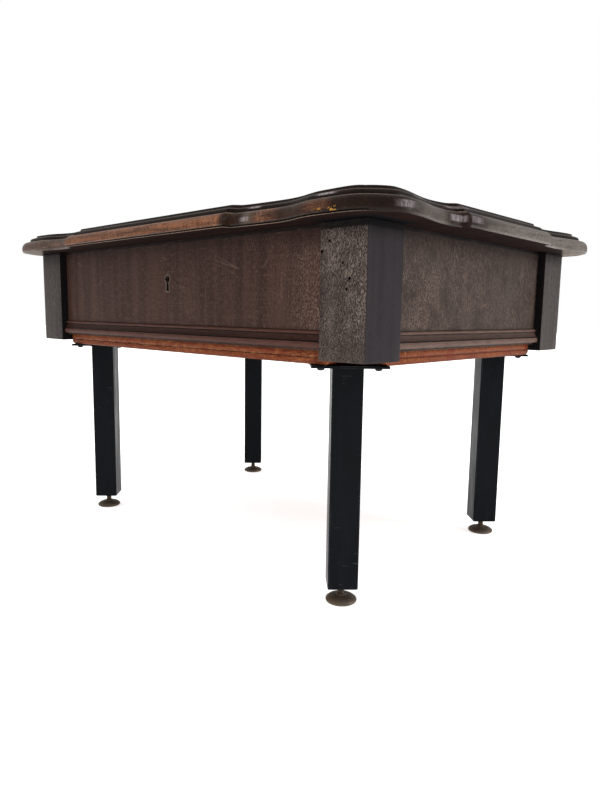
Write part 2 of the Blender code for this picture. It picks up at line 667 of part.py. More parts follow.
def make_hinge(name, x, back_panel, back_rail):
    """A butt hinge: one leaf flush in the back panel, one flush in the lid, and a loose pin."""
    half = HINGE_WIDTH / 2
    inner = MIDDLE_KNUCKLE / 2
    outer_spans = [(-half, -inner - KNUCKLE_GAP), (inner + KNUCKLE_GAP, half)]
    axis = (x, AXIS_Y, AXIS_Z)
    bore = rods(f"hinge_bore_{name}", BARREL_BORE_R, [(-half - 0.01, half + 0.01)], 12)
    bore.location = axis

    leaf_top = AXIS_Z - 0.0016
    case_leaf = box(f"hinge_case_leaf_{name}", (x - half, BACK_Y - HINGE_LEAF, AXIS_Z - HINGE_LEAF_LENGTH),
                    (x + half, BACK_Y, leaf_top), BRASS)
    bm = bmesh.new()
    for low, high in outer_spans:
        web = (high - low, HINGE_SETBACK + HINGE_LEAF / 2, BARREL_R - 0.0016)
        box_into(bm, web, ((low + high) / 2, -web[1] / 2, -0.0016 - web[2] / 2))
    webs = add(f"hinge_case_webs_{name}", bm)
    webs.location = axis
    case_barrels = rods(f"hinge_case_barrels_{name}", BARREL_R, outer_spans, 16)
    case_barrels.location = axis
    combine(case_leaf, webs, "UNION")
    combine(case_leaf, case_barrels, "UNION")
    combine(case_leaf, bore)

    leaf_start = AXIS_Y + HINGE_SETBACK
    lid_leaf = box(f"hinge_lid_leaf_{name}", (x - half, leaf_start, LID_BOTTOM),
                   (x + half, AXIS_Y + HINGE_LEAF_LENGTH, LID_BOTTOM + HINGE_LEAF), BRASS)
    lid_web = box(f"hinge_lid_web_{name}", (x - inner, AXIS_Y + 0.0005, LID_BOTTOM + 0.0002),
                  (x + inner, leaf_start + 0.002, LID_BOTTOM + HINGE_LEAF - 0.0002))
    lid_barrel = rods(f"hinge_lid_barrel_{name}", BARREL_R, [(-inner, inner)], 16)
    lid_barrel.location = axis
    combine(lid_leaf, lid_web, "UNION")
    combine(lid_leaf, lid_barrel, "UNION")
    combine(lid_leaf, bore)

    panel_recess = box(f"hinge_panel_recess_{name}", (x - half - GAP, BACK_Y - HINGE_LEAF - GAP,
                                                      AXIS_Z - HINGE_LEAF_LENGTH - GAP),
                       (x + half + GAP, BACK_Y + 0.01, CASE_TOP + 0.01))
    lid_recess = box(f"hinge_lid_recess_{name}", (x - half - GAP, AXIS_Y, LID_BOTTOM - 0.01),
                     (x + half + GAP, AXIS_Y + HINGE_LEAF_LENGTH + GAP, LID_BOTTOM + HINGE_LEAF + GAP))
    groove = rods(f"hinge_groove_{name}", BARREL_R + 2 * GAP, [(-half - GAP, half + GAP)], 16)
    groove.location = axis
    combine(back_panel, panel_recess)
    combine(back_rail, lid_recess)
    combine(back_rail, groove)

    bm = bmesh.new()
    rod_into(bm, PIN_R, -half + GAP, half - GAP, "X", 12)
    pin = add(f"hinge_pin_{name}", bm, BRASS)
    pin.location = axis
    return lid_leaf


def hang_lid(pieces):
    """Parents the lid's pieces to an empty on the hinge axis."""
    axis = bpy.data.objects.new("lid_axis", None)
    axis.location = (0.0, AXIS_Y, AXIS_Z)
    PARTS.objects.link(axis)
    bpy.context.view_layer.update()
    for piece in pieces:
        piece.parent = axis
        piece.matrix_parent_inverse = axis.matrix_world.inverted()


def main():
    posts = post_clearance()
    screw_holes = screw_hole_cutter()
    make_posts()
    front_panel, back_panel = make_panels()
    make_mouldings()
    make_bottom(posts, screw_holes)
    make_legs(screw_holes)
    make_screws()
    make_feet()
    rails = make_rails()
    glazing = make_glazing()
    _, strike = make_lock(front_panel, rails["front"])
    leaves = [make_hinge(name, sign * HINGE_X, back_panel, rails["back"])
              for name, sign in (("left", -1), ("right", 1))]
    hang_lid([*rails.values(), *glazing, strike, *leaves])


main()
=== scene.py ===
import json
import random
from math import cos, pi, radians, sin, sqrt

import bmesh
import bpy
from mathutils import Matrix, Vector, noise
from mathutils.geometry import interpolate_bezier


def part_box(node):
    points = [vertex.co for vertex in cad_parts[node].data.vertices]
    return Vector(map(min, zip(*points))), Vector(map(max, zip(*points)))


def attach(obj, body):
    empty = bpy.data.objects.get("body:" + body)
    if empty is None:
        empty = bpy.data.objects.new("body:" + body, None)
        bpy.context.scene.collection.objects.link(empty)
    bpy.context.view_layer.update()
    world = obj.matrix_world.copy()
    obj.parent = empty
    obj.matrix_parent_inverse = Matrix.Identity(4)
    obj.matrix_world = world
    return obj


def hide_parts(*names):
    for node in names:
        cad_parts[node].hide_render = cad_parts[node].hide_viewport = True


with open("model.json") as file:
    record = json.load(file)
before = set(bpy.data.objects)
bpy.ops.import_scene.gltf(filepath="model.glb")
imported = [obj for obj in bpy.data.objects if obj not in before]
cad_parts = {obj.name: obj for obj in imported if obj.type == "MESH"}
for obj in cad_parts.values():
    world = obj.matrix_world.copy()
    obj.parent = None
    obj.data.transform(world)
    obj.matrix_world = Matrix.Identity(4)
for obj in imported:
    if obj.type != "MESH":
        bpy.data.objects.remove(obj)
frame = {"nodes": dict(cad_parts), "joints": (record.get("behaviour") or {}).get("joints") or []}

noise.seed_set(7)
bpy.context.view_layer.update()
NODES = frame["nodes"]

# Driving sizes, from the frame
GAP = 0.0003
POST_LOW, POST_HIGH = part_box("post_front_right")
POST = POST_HIGH.x - POST_LOW.x
HALF_W = POST_HIGH.x
HALF_D = -POST_LOW.y
INNER_W, INNER_D = HALF_W - POST, HALF_D - POST
CASE_BOTTOM = POST_LOW.z
CASE_TOP = POST_HIGH.z
PANEL_FACE_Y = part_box("front_panel")[0].y
SIDE_FACE_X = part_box("right_panel")[1].x
BOARD_LOW, BOARD_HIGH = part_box("bottom_board")
LINING_LOW, LINING_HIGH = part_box("lining_board")
LID_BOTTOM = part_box("lid_rail_front")[0].z
LID_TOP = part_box("lid_rail_front")[1].z
LID_THICK = LID_TOP - LID_BOTTOM
GLASS_LOW, GLASS_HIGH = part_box("glass_pane")
PLATE_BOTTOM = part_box("leg_plate_front_right")[0].z
LEG_SIDE = 0.035
HINGE_AXIS = Vector(next(j for j in frame["joints"] if j["name"] == "lid_hinge")["pos_m"])
CORNERS = [(f"{y}_{x}", sx, sy) for y, sy in (("front", -1), ("back", 1))
           for x, sx in (("left", -1), ("right", 1))]


# Shader building

def srgb(red, green, blue):
    """A display colour, 0 to 255, as a linear RGBA tuple."""
    def linear(value):
        value /= 255
        return value / 12.92 if value <= 0.04045 else ((value + 0.055) / 1.055) ** 2.4
    return (linear(red), linear(green), linear(blue), 1.0)


class Shader:
    """A material with a Principled BSDF, its base colour so far, and short calls for the nodes that feed it."""

    def __init__(self, name, colour, **constants):
        self.material = bpy.data.materials.new(name)
        self.material.use_nodes = True
        self.tree = self.material.node_tree
        self.bsdf = self.tree.nodes["Principled BSDF"]
        for socket, value in constants.items():
            self.bsdf.inputs[socket.replace("_", " ")].default_value = value
        self.place = self.add("TexCoord").outputs["Object"]
        self.colour = colour

    def add(self, kind, **inputs):
        node = self.tree.nodes.new("ShaderNode" + kind)
        for name, value in inputs.items():
            self.feed(node.inputs[name], value)
        return node

    def feed(self, socket, value):
        if isinstance(value, bpy.types.NodeSocket):
            self.tree.links.new(value, socket)
        else:
            socket.default_value = value

    def set(self, socket, value):
        self.feed(self.bsdf.inputs[socket], value)

    def math(self, operation, first, second=0.0):
        node = self.add("Math")
        node.operation = operation
        self.feed(node.inputs[0], first)
        self.feed(node.inputs[1], second)
        return node.outputs[0]

    def times(self, first, *others):
        """The product of all the values."""
        for other in others:
            first = self.math("MULTIPLY", first, other)
        return first

    def mix(self, share, first, second):
        node = self.add("Mix")
        node.data_type = "RGBA"
        self.feed(node.inputs[0], share)
        self.feed(node.inputs[6], first)
        self.feed(node.inputs[7], second)
        return node.outputs[2]

    def paint(self, colour, *shares):
        """Lays a colour over the base colour; the product of the shares is how much of it shows."""
        self.colour = self.mix(self.times(*shares), self.colour, colour)
        self.set("Base Color", self.colour)

    def noise(self, fineness, offset=(0.0, 0.0, 0.0), detail=3.0, roughness=0.55, distortion=0.0, space=None):
        """Noise over the object's own coordinates; fineness is one number, or one for each axis."""
        scale = fineness if isinstance(fineness, tuple) else (fineness,) * 3
        vector = self.add("Mapping", Vector=space or self.place, Scale=scale, Location=offset).outputs[0]
        return self.add("TexNoise", Vector=vector, Scale=1.0, Detail=detail, Roughness=roughness,
                        Distortion=distortion).outputs[0]

    def ramp(self, value, low, high, out_low=0.0, out_high=1.0):
        node = self.add("MapRange", Value=value)
        node.interpolation_type = "SMOOTHSTEP"
        for index, number in enumerate((low, high, out_low, out_high), 1):
            node.inputs[index].default_value = number
        return node.outputs[0]

    def attribute(self, name):
        node = self.add("Attribute")
        node.attribute_name = name
        return node.outputs["Fac"]

    def axis(self, index):
        return self.add("SeparateXYZ", Vector=self.place).outputs[index]

    def bump(self, height, distance, strength):
        self.set("Normal", self.add("Bump", Height=height, Distance=distance, Strength=strength).outputs[0])

    def edge(self, radius=0.0015):
        """Near 1 along sharp edges: how far a rounded normal leans away from the true one."""
        rounded = self.add("Bevel", Radius=radius)
        rounded.samples = 4
        lean = self.add("VectorMath")
        lean.operation = "DOT_PRODUCT"
        self.feed(lean.inputs[0], rounded.outputs[0])
        self.feed(lean.inputs[1], self.add("NewGeometry").outputs["Normal"])
        return self.ramp(lean.outputs["Value"], 0.995, 0.86)


ALONG = {"X": (0.055, 1.0, 1.0), "Y": (1.0, 0.055, 1.0), "Z": (1.0, 1.0, 0.055)}


def scaled(vector, factor):
    return tuple(value * factor for value in vector)


def shaded(colour, factor):
    return (*scaled(colour[:3], factor), 1.0)


def wood(name, dark, mid, light, axis, rough=(0.45, 0.65), fleck=0.5, fleck_scale=900, scratches=0.0, facing="Y",
         wear=None, specular=0.08, seed=0.0, under_lid_shade=0.0, under_lid_shade_depth=0.0022):
    """Stained wood with its grain along one axis: streaks, light flecks, pores, straight scratches and worn edges.

    facing is the axis across the face the scratches show on; the next two set how dark the painted shade is just
    under the lid, and how far down its darkest part goes.
    """
    shader = Shader(name, dark, Specular_IOR_Level=specular)
    shift = scaled((1.0, 0.7, 1.3), seed)
    stretch = ALONG[axis]
    short = tuple(max(0.22, value) for value in stretch)
    band = shader.noise(scaled(stretch, 70), shift, 6, 0.65, 0.3)
    flecks = shader.noise(scaled(short, fleck_scale), shift, 3, 0.75)
    fibre = shader.noise(scaled(stretch, 1500), shift, 2)
    patch = shader.noise(11, shift, 5, 0.7)
    pores = shader.ramp(flecks, 0.42, 0.34, 0.0, 0.6)
    shader.paint(mid, shader.ramp(band, 0.32, 0.68))
    shader.paint(dark, shader.ramp(fibre, 0.38, 0.62, 0.0, 0.4))
    shader.paint(light, shader.ramp(flecks, 0.46, 0.66), shader.ramp(patch, 0.30, 0.62, 0.35, 1.0), fleck)
    shader.paint(shaded(dark, 0.4), pores)
    if scratches:
        scratch(shader, facing, seed, scratches)
    if wear:
        shader.paint(wear, shader.edge(), shader.ramp(flecks, 0.38, 0.60, 0.15, 1.0), 0.7)
    # Painted shade just under the lid: black over the top few millimetres, fading out further down
    if under_lid_shade:
        height = shader.axis(2)
        line = shader.ramp(height, CASE_TOP - under_lid_shade_depth - 0.003, CASE_TOP - under_lid_shade_depth, 0.0, under_lid_shade)
        shade = shader.ramp(height, CASE_TOP - 0.022, CASE_TOP - 0.002, 0.0, under_lid_shade * 0.45)
        shader.paint(srgb(8, 7, 9), shader.math("MAXIMUM", line, shade))
    shader.set("Roughness", shader.ramp(patch, 0.3, 0.7, *rough))
    shader.bump(shader.math("SUBTRACT", flecks, pores), 0.00015, 0.5)
    return shader


def scratch(shader, facing, seed, strength):
    """Fine straight scratches in a few directions, broken into short lengths."""
    for number, turn in enumerate((0.35, -0.75, 1.25, -0.12)):
        angles = (turn, 0.0, 0.0) if facing == "X" else (0.0, turn, 0.0)
        spun = shader.add("Mapping", Vector=shader.place, Rotation=angles).outputs[0]
        drawn = shader.noise((70, 70, 1.6), scaled((0.31, 0.17, 0.23), number + 1 + seed), 0.0, space=spun)
        line = shader.math("ABSOLUTE", shader.math("SUBTRACT", drawn, 0.5))
        where = shader.noise(24, scaled((1.7, 0.4, 2.3), number + seed), 1)
        shader.paint(srgb(148, 124, 110), shader.ramp(line, 0.0050, 0.0015), shader.ramp(where, 0.56, 0.68),
                     strength)


def metal(name, colour, worn, metallic, rough, grain=220.0, specular=0.5):
    shader = Shader(name, colour, Metallic=metallic, Specular_IOR_Level=specular)
    fine = shader.noise(grain, detail=4, roughness=0.7)
    shader.paint(worn, shader.ramp(shader.noise(60), 0.4, 0.65))
    shader.paint(shaded(worn, 1.6), shader.edge(0.0006), 0.5)
    shader.set("Roughness", shader.ramp(fine, 0.3, 0.7, *rough))
    shader.bump(fine, 0.00006, 0.5)
    return shader.material


# Materials

def rim_metal():
    """The keyhole's liner: dark, with thin bright worn edges."""
    shader = Shader("keyhole_rim", srgb(26, 19, 16), Metallic=0.3, Specular_IOR_Level=0.3)
    fine = shader.noise(900)
    shader.paint(srgb(50, 40, 35), shader.ramp(fine, 0.4, 0.6))
    shader.paint(srgb(184, 166, 150), shader.edge(0.0005), shader.ramp(fine, 0.3, 0.5, 0.4, 1.0))
    shader.set("Roughness", shader.ramp(fine, 0.3, 0.7, 0.35, 0.55))
    return shader.material


def panel_wood():
    """The front: dark red-brown polish, with fine upright grain, cross marks and specks towards the near post."""
    shader = wood("panel_wood_front", srgb(40, 25, 21), srgb(61, 42, 36), srgb(96, 74, 66), "Z", fleck=0.45,
                  scratches=0.13, wear=srgb(120, 84, 66), under_lid_shade=0.9)
    cross = shader.noise((45, 45, 700), detail=4, roughness=0.7)
    shader.paint(srgb(92, 70, 62), shader.ramp(cross, 0.52, 0.72, 0.0, 0.35))
    speck = shader.ramp(shader.noise((800, 800, 520), roughness=0.8), 0.50, 0.62)
    near = shader.ramp(shader.axis(0), INNER_W - 0.085, INNER_W - 0.005)
    low = shader.ramp(shader.axis(2), CASE_TOP - 0.012, CASE_TOP - 0.030)
    shader.paint(srgb(136, 112, 100), speck, near, low, 0.5)
    return shader.material


def side_wood():
    """The right side: the polish is rubbed and mottled, most of all towards the front."""
    shader = wood("panel_wood_side", srgb(42, 32, 28), srgb(58, 46, 41), srgb(100, 84, 76), "Z", fleck=0.58,
                  scratches=0.15, facing="X", wear=srgb(110, 90, 78), seed=3.1, under_lid_shade=0.95)
    cloud = shader.noise(26, (0.7, 0.1, 0.4), 5, 0.7)
    speck = shader.ramp(shader.noise((700, 700, 420), roughness=0.8), 0.50, 0.62)
    near = shader.ramp(shader.axis(1), 0.05, -0.17, 0.35, 1.0)
    low = shader.ramp(shader.axis(2), CASE_TOP - 0.012, CASE_TOP - 0.040)
    shader.paint(srgb(136, 118, 106), speck, near, shader.ramp(cloud, 0.40, 0.62), low, 0.6)
    shader.paint(srgb(42, 34, 31), shader.ramp(cloud, 0.48, 0.36, 0.0, 0.5))
    return shader.material


def moulding_wood():
    """Red-brown, with rubbed wear and a painted highlight on its bead and foot, and painted shade in the two
    quirks;
    dustier on the right side.

    The mesh's "groove" attribute is 1 in the quirks, where the shade is painted, and "rub" is 1 on the bead and
    the foot, where the wear and the highlight are.
    """
    shader = wood("moulding_wood", srgb(23, 10, 7), srgb(38, 20, 14), srgb(76, 51, 41), "X", fleck=0.4,
                  specular=0.12, rough=(0.4, 0.6), seed=7.7)
    fibre = shader.noise((60, 60, 900), detail=4, roughness=0.7)
    on_side = shader.ramp(shader.axis(0), INNER_W, INNER_W + 0.005)
    shader.paint(srgb(66, 48, 41), on_side, shader.ramp(fibre, 0.35, 0.6, 0.2, 0.7))
    rubbed = shader.mix(on_side, srgb(80, 50, 42), srgb(98, 76, 66))
    # Rubbed wear with a painted highlight on the bead and the foot
    shader.paint(rubbed, shader.attribute("rub"), shader.ramp(fibre, 0.30, 0.62, 0.35, 0.8))
    # Painted shade in the quirks
    shader.paint(srgb(9, 6, 6), shader.attribute("groove"))
    return shader.material


def near_post_wood():
    """The near post's front: dry and open-grained, darker towards its foot and its left edge."""
    shader = wood("post_wood_near", srgb(29, 23, 21), srgb(52, 43, 40), srgb(158, 142, 133), "Z", fleck=0.8,
                  fleck_scale=2300, wear=srgb(150, 126, 110), rough=(0.6, 0.8), seed=2.0,
                  under_lid_shade=0.92, under_lid_shade_depth=0.0065)
    foot = shader.ramp(shader.axis(2), CASE_BOTTOM + 0.045, CASE_BOTTOM, 0.0, 0.45)
    left = shader.ramp(shader.axis(0), INNER_W + 0.016, INNER_W, 0.0, 0.35)
    shader.paint(srgb(40, 32, 29), shader.math("MAXIMUM", foot, left))
    return shader.material


def lid_wood(name, axis, seed):
    """Black-brown polish over orange-brown wood, rubbed through on the roll of the edge.

    Attributes of the mesh: "roll" is 1 on the roll of the edge moulding; "rub" is how far it is rubbed through
    to orange-brown, and "dust" to grey-brown; "scuff" is 1 where white scratches and painted highlights lie on
    the gloss; "arris" is 1 on the fine light lines, worn edges with a painted highlight; "groove" is 1 where
    shade is painted in the cracks and quirks; "chips" is 1 where the lip is knocked down to gold.
    """
    shader = wood(name, srgb(16, 10, 8), srgb(28, 19, 15), srgb(54, 39, 31), axis, fleck=0.35,
                  rough=(0.22, 0.38), specular=0.09, seed=seed)
    roll = shader.attribute("roll")
    streak = shader.noise(scaled(ALONG[axis], 160), (seed, 0.3, 0.1), 6, 0.75)
    upright = shader.noise((420, 420, 40), (seed, 0.3, 0.1), 4, 0.75)
    grit = shader.noise(500, roughness=0.8)
    chip = shader.noise((240, 240, 380), (seed, 0.2, 0.0), 2)
    brown = shader.mix(shader.ramp(streak, 0.38, 0.62), srgb(60, 36, 26), srgb(118, 74, 50))
    brown = shader.mix(shader.ramp(grit, 0.50, 0.66, 0.0, 0.6), brown, srgb(150, 122, 102))
    brown = shader.mix(shader.ramp(upright, 0.50, 0.38, 0.0, 0.6), brown, srgb(48, 28, 21))
    grey = shader.mix(shader.ramp(grit, 0.40, 0.62), srgb(78, 71, 66), srgb(108, 101, 95))
    shader.paint(brown, shader.attribute("rub"), roll, shader.ramp(streak, 0.30, 0.50, 0.55, 1.0))
    shader.paint(grey, shader.attribute("dust"), roll, shader.ramp(streak, 0.30, 0.56, 0.5, 1.0))
    # Fine light lines: worn arrises with a painted highlight
    shader.paint(srgb(132, 114, 100), shader.attribute("arris"), shader.ramp(upright, 0.30, 0.60, 0.35, 0.85))
    # White scratches and painted highlights on the gloss
    shader.paint(srgb(166, 156, 158), shader.attribute("scuff"), shader.ramp(upright, 0.40, 0.58, 0.25, 1.0))
    shader.paint(srgb(156, 112, 46), shader.attribute("chips"), shader.ramp(chip, 0.56, 0.62))
    # Painted shade in the crack under the roll and in the quirks
    shader.paint(srgb(5, 3, 3), shader.attribute("groove"))
    return shader.material


def lid_underside():
    """Dark red-brown, with black painted shade by the near post, and pale, grained painted light past the
    front-left and back-right posts.
    """
    shader = wood("lid_underside", srgb(18, 9, 8), srgb(33, 19, 16), srgb(54, 37, 31), "X", fleck=0.3,
                  specular=0.04, rough=(0.7, 0.9), seed=2.2)
    along, across = shader.axis(0), shader.axis(1)
    out = shader.math("MAXIMUM", shader.math("SUBTRACT", along, HALF_W), shader.math("SUBTRACT", -HALF_D, across))
    # Black painted shade under the lid by the near post
    shader.paint(srgb(12, 11, 14), shader.ramp(along, HALF_W - 0.075, HALF_W - 0.055),
                 shader.ramp(across, -HALF_D + 0.075, -HALF_D + 0.055), shader.ramp(out, 0.016, 0.006))
    # Pale, grained painted light past the front-left and back-right posts
    grain = shader.noise((500, 40, 40), detail=4)
    pale_painted_light = shader.mix(shader.ramp(grain, 0.35, 0.65), srgb(92, 83, 76), srgb(124, 115, 106))
    for (toward_x, toward_y), side in (((0.934, 0.357), 1), ((-0.421, -0.907), -1)):
        past = shader.math("ADD", shader.times(shader.math("SUBTRACT", along, side * HALF_W), toward_x),
                           shader.times(shader.math("SUBTRACT", across, side * HALF_D), toward_y))
        shader.paint(pale_painted_light, shader.ramp(past, -0.002, 0.002))
    return shader.material


def board_wood():
    """Orange-brown board with upright saw marks; the line between its two layers is dark red."""
    shader = wood("board_wood", srgb(90, 39, 20), srgb(135, 71, 37), srgb(182, 120, 68), "X", fleck=0.6,
                  fleck_scale=500, rough=(0.45, 0.6), wear=srgb(196, 150, 116), seed=1.4)
    saw = shader.noise((800, 800, 60), detail=2)
    shader.paint(srgb(98, 44, 28), shader.ramp(saw, 0.40, 0.62, 0.5, 0.0))
    shader.paint(srgb(70, 24, 14), shader.attribute("groove"))
    shader.paint(srgb(104, 42, 26), shader.ramp(shader.noise(34, detail=4), 0.52, 0.68, 0.0, 0.6))
    foot = shader.ramp(shader.axis(2), BOARD_LOW.z + 0.0045, BOARD_LOW.z + 0.001, 0.0, 0.6)
    shader.paint(srgb(88, 40, 26), foot)
    return shader.material


def black_paint():
    shader = Shader("black_paint", srgb(2, 4, 7), Specular_IOR_Level=0.07)
    fine = shader.noise(420)
    run = shader.noise((90, 90, 14), detail=4, roughness=0.6)
    shader.paint(srgb(7, 11, 17), shader.ramp(run, 0.35, 0.7))
    scuff = shader.ramp(shader.noise((60, 60, 500), detail=2), 0.66, 0.72)
    shader.paint(srgb(84, 84, 86), scuff, shader.ramp(shader.noise(9), 0.5, 0.62), 0.5)
    shader.paint(srgb(92, 90, 88), shader.edge(0.0012), shader.ramp(run, 0.45, 0.7, 0.0, 0.55))
    shader.set("Roughness", shader.ramp(run, 0.3, 0.7, 0.26, 0.42))
    shader.bump(shader.math("ADD", fine, run), 0.00008, 0.4)
    return shader.material


def felt():
    shader = Shader("felt", srgb(38, 58, 44), Roughness=0.95, Specular_IOR_Level=0.1, Sheen_Weight=0.35,
                    Sheen_Roughness=0.5)
    fuzz = shader.noise(900, detail=4, roughness=0.8)
    nap = shader.noise(14, distortion=0.8)
    shader.paint(srgb(62, 88, 66), shader.ramp(fuzz, 0.3, 0.7))
    shader.paint(srgb(82, 106, 84), shader.ramp(nap, 0.35, 0.7, 0.0, 0.4))
    shader.bump(fuzz, 0.0004, 0.6)
    return shader.material


def card():
    shader = Shader("card", srgb(120, 104, 84), Roughness=0.9, Specular_IOR_Level=0.2)
    fibre = shader.noise((500, 120, 500))
    shader.paint(srgb(158, 142, 120), fibre)
    shader.bump(fibre, 0.0001, 0.4)
    return shader.material


def glass():
    """Clear, with faint smears; part of the light goes straight through, so that it reaches the felt."""
    shader = Shader("glass", srgb(240, 248, 244), Transmission_Weight=1.0, IOR=1.5, Alpha=0.3)
    smear = shader.noise((14, 22, 14), detail=4, distortion=1.5)
    shader.paint(srgb(232, 244, 238), shader.ramp(smear, 0.3, 0.7))
    shader.set("Roughness", shader.ramp(smear, 0.45, 0.75, 0.0, 0.015))
    return shader.material


# Some of these woods take a number for how dark the painted shade is just under the lid
PANEL = panel_wood()
SIDE = side_wood()
BACK = wood("panel_wood_back", srgb(52, 36, 31), srgb(78, 58, 51), srgb(118, 96, 86), "X", fleck=0.4,
            scratches=0.4, wear=srgb(124, 92, 74), seed=5.7, under_lid_shade=0.8).material
MOULDING = moulding_wood()
POSTS = wood("post_wood", srgb(46, 41, 39), srgb(63, 57, 55), srgb(106, 98, 94), "Z", fleck=0.45,
             wear=srgb(120, 104, 94), rough=(0.55, 0.75), seed=1.0, under_lid_shade=0.9).material
NEAR_POST = near_post_wood()
# The near post's right side is smoother and almost black: shade painted onto that face
SHADED_SIDE_POST = wood("post_wood_shaded_side", srgb(31, 27, 30), srgb(40, 35, 38), srgb(56, 50, 52), "Z", fleck=0.2,
                   rough=(0.5, 0.65), seed=9.0, wear=srgb(88, 76, 68), under_lid_shade=0.9, under_lid_shade_depth=0.0065).material
# Black painted shade on the posts beside the recessed panels, and inside the worm holes
RECESS_SHADE = wood("black_recess_shade", srgb(12, 10, 11), srgb(22, 18, 19), srgb(44, 38, 38), "Z", fleck=0.3,
             specular=0.03, rough=(0.8, 0.95)).material
LID_X = lid_wood("lid_wood_long", "X", 1.0)
LID_Y = lid_wood("lid_wood_short", "Y", 4.0)
UNDERSIDE = lid_underside()
BOARD = board_wood()
PAINT = black_paint()
FELT = felt()
CARD = card()
GLASS = glass()
BRASS = metal("aged_brass", srgb(128, 100, 60), srgb(82, 62, 40), 1.0, (0.32, 0.55))
RIM_METAL = rim_metal()
STEEL = metal("screw_steel", srgb(26, 25, 26), srgb(52, 44, 38), 0.6, (0.4, 0.6), specular=0.3)
FOOT_METAL = metal("foot_metal", srgb(90, 81, 71), srgb(100, 84, 68), 0.7, (0.4, 0.65), 160.0, 0.25)


# Mesh building

def shares(count):
    """Even steps from 0 to 1."""
    return [step / count for step in range(count + 1)]


def from_bmesh(name, bm, material, smooth=None):
    """An object from a mesh under construction, shaded smooth except at edges sharper than smooth degrees."""
    mesh = bpy.data.meshes.new(name)
    bmesh.ops.recalc_face_normals(bm, faces=bm.faces)
    bm.to_mesh(mesh)
    bm.free()
    if smooth is not None:
        mesh.shade_smooth()
        mesh.set_sharp_from_angle(angle=radians(smooth))
    mesh.materials.append(material)
    obj = bpy.data.objects.new(name, mesh)
    bpy.context.scene.collection.objects.link(obj)
    return obj


def skin(bm, rows, closed=False):
    """Faces between rings of vertices; closed joins the last ring to the first, otherwise both are capped."""
    for lower, upper in zip(rows, rows[1:] + rows[:1] if closed else rows[1:]):
        for i in range(len(lower)):
            j = (i + 1) % len(lower)
            bm.faces.new((lower[i], lower[j], upper[j], upper[i]))
    if not closed:
        bm.faces.new(reversed(rows[0]))
        bm.faces.new(rows[-1])


def loft(name, rings, material, smooth=35.0, closed=False, values=None):
    """Skins a list of equal rings. values: attribute name to a function of the ring's and point's numbers."""
    bm = bmesh.new()
    layers = {key: bm.verts.layers.float.new(key) for key in (values or {})}
    rows = []
    for row, ring in enumerate(rings):
        rows.append([bm.verts.new(point) for point in ring])
        for index, vert in enumerate(rows[-1]):
            for key, layer in layers.items():
                vert[layer] = values[key](row, index)
    skin(bm, rows, closed)
    return from_bmesh(name, bm, material, smooth)


def turned(name, profile, place, material, steps):
    """A closed turned piece; the profile is (radius, height) points, with both ends on the axis."""
    x, y, z = place
    bm = bmesh.new()
    rows = []
    for step in range(steps):
        angle = 2 * pi * step / steps
        rows.append([bm.verts.new((x + r * cos(angle), y + r * sin(angle), z + up)) for r, up in profile[1:-1]])
    first, last = [bm.verts.new((x, y, z + profile[end][1])) for end in (0, -1)]
    for a, b in zip(rows, rows[1:] + rows[:1]):
        for k in range(len(a) - 1):
            bm.faces.new((a[k], b[k], b[k + 1], a[k + 1]))
        bm.faces.new((first, b[0], a[0]))
        bm.faces.new((last, a[-1], b[-1]))
    return from_bmesh(name, bm, material, 40.0)


def cut(obj, *cutters, keep_material=False):
    """Cuts the cutters out of obj, applies the result and removes them; their own material may line the holes."""
    for cutter in cutters:
        boolean = obj.modifiers.new("cut", "BOOLEAN")
        boolean.object = cutter
        boolean.material_mode = "TRANSFER" if keep_material else "INDEX"
    graph = bpy.context.evaluated_depsgraph_get()
    mesh = bpy.data.meshes.new_from_object(obj.evaluated_get(graph))
    obj.modifiers.clear()
    obj.data = mesh
    for cutter in cutters:
        bpy.data.objects.remove(cutter)


def cuboid(low, high):
    low, high = Vector(low), Vector(high)
    bm = bmesh.new()
    place = Matrix.Translation((low + high) / 2) @ Matrix.Diagonal((*(high - low), 1))
    bmesh.ops.create_cube(bm, size=1.0, matrix=place)
    return bm


def bevel(bm, width, segments):
    bmesh.ops.bevel(bm, geom=bm.edges[:], offset=width, segments=segments, profile=0.5, affect="EDGES")


def divide(bm, low, high, cell, axes):
    """Cuts a mesh between low and high into cells, with planes across the given axes."""
    for axis in axes:
        normal = Vector([float(axis == other) for other in range(3)])
        count = int((high[axis] - low[axis]) / cell)
        for step in range(1, count):
            point = normal * (low[axis] + (high[axis] - low[axis]) * step / count)
            parts = bm.verts[:] + bm.edges[:] + bm.faces[:]
            bmesh.ops.bisect_plane(bm, geom=parts, plane_co=point, plane_no=normal)


def block(name, low, high, material):
    return from_bmesh(name, cuboid(low, high), material)


def rod(name, radius, start, end, material, segments=32):
    """A cylinder from start to end."""
    start, end = Vector(start), Vector(end)
    way = end - start
    place = Matrix.Translation((start + end) / 2) @ way.to_track_quat("Z", "Y").to_matrix().to_4x4()
    bm = bmesh.new()
    bmesh.ops.create_cone(bm, cap_ends=True, segments=segments, radius1=radius, radius2=radius,
                          depth=way.length, matrix=place)
    return from_bmesh(name, bm, material, 40.0)


def wobble(obj, amount, scale, seed=0.0):
    """Moves each point a little, so that a long edge isn't a ruled line."""
    for vert in obj.data.vertices:
        vert.co += amount * noise.noise_vector(vert.co * scale + Vector((seed, seed, seed)))


def paint_faces(obj, material, chosen):
    """Gives another material to the faces that chosen(normal, centre) picks."""
    index = len(obj.data.materials)
    obj.data.materials.append(material)
    for face in obj.data.polygons:
        if chosen(face.normal, face.center):
            face.material_index = index


def dress(obj, body, slot, *nodes):
    """Rides on a body and stands for the CAD nodes named; its slot argument is not used."""
    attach(obj, body)
    if nodes:
        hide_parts(*nodes)


def finish_node(name, material):
    """Gives a CAD node that stays a procedural material."""
    NODES[name].data.materials.clear()
    NODES[name].data.materials.append(material)


# Posts and panels

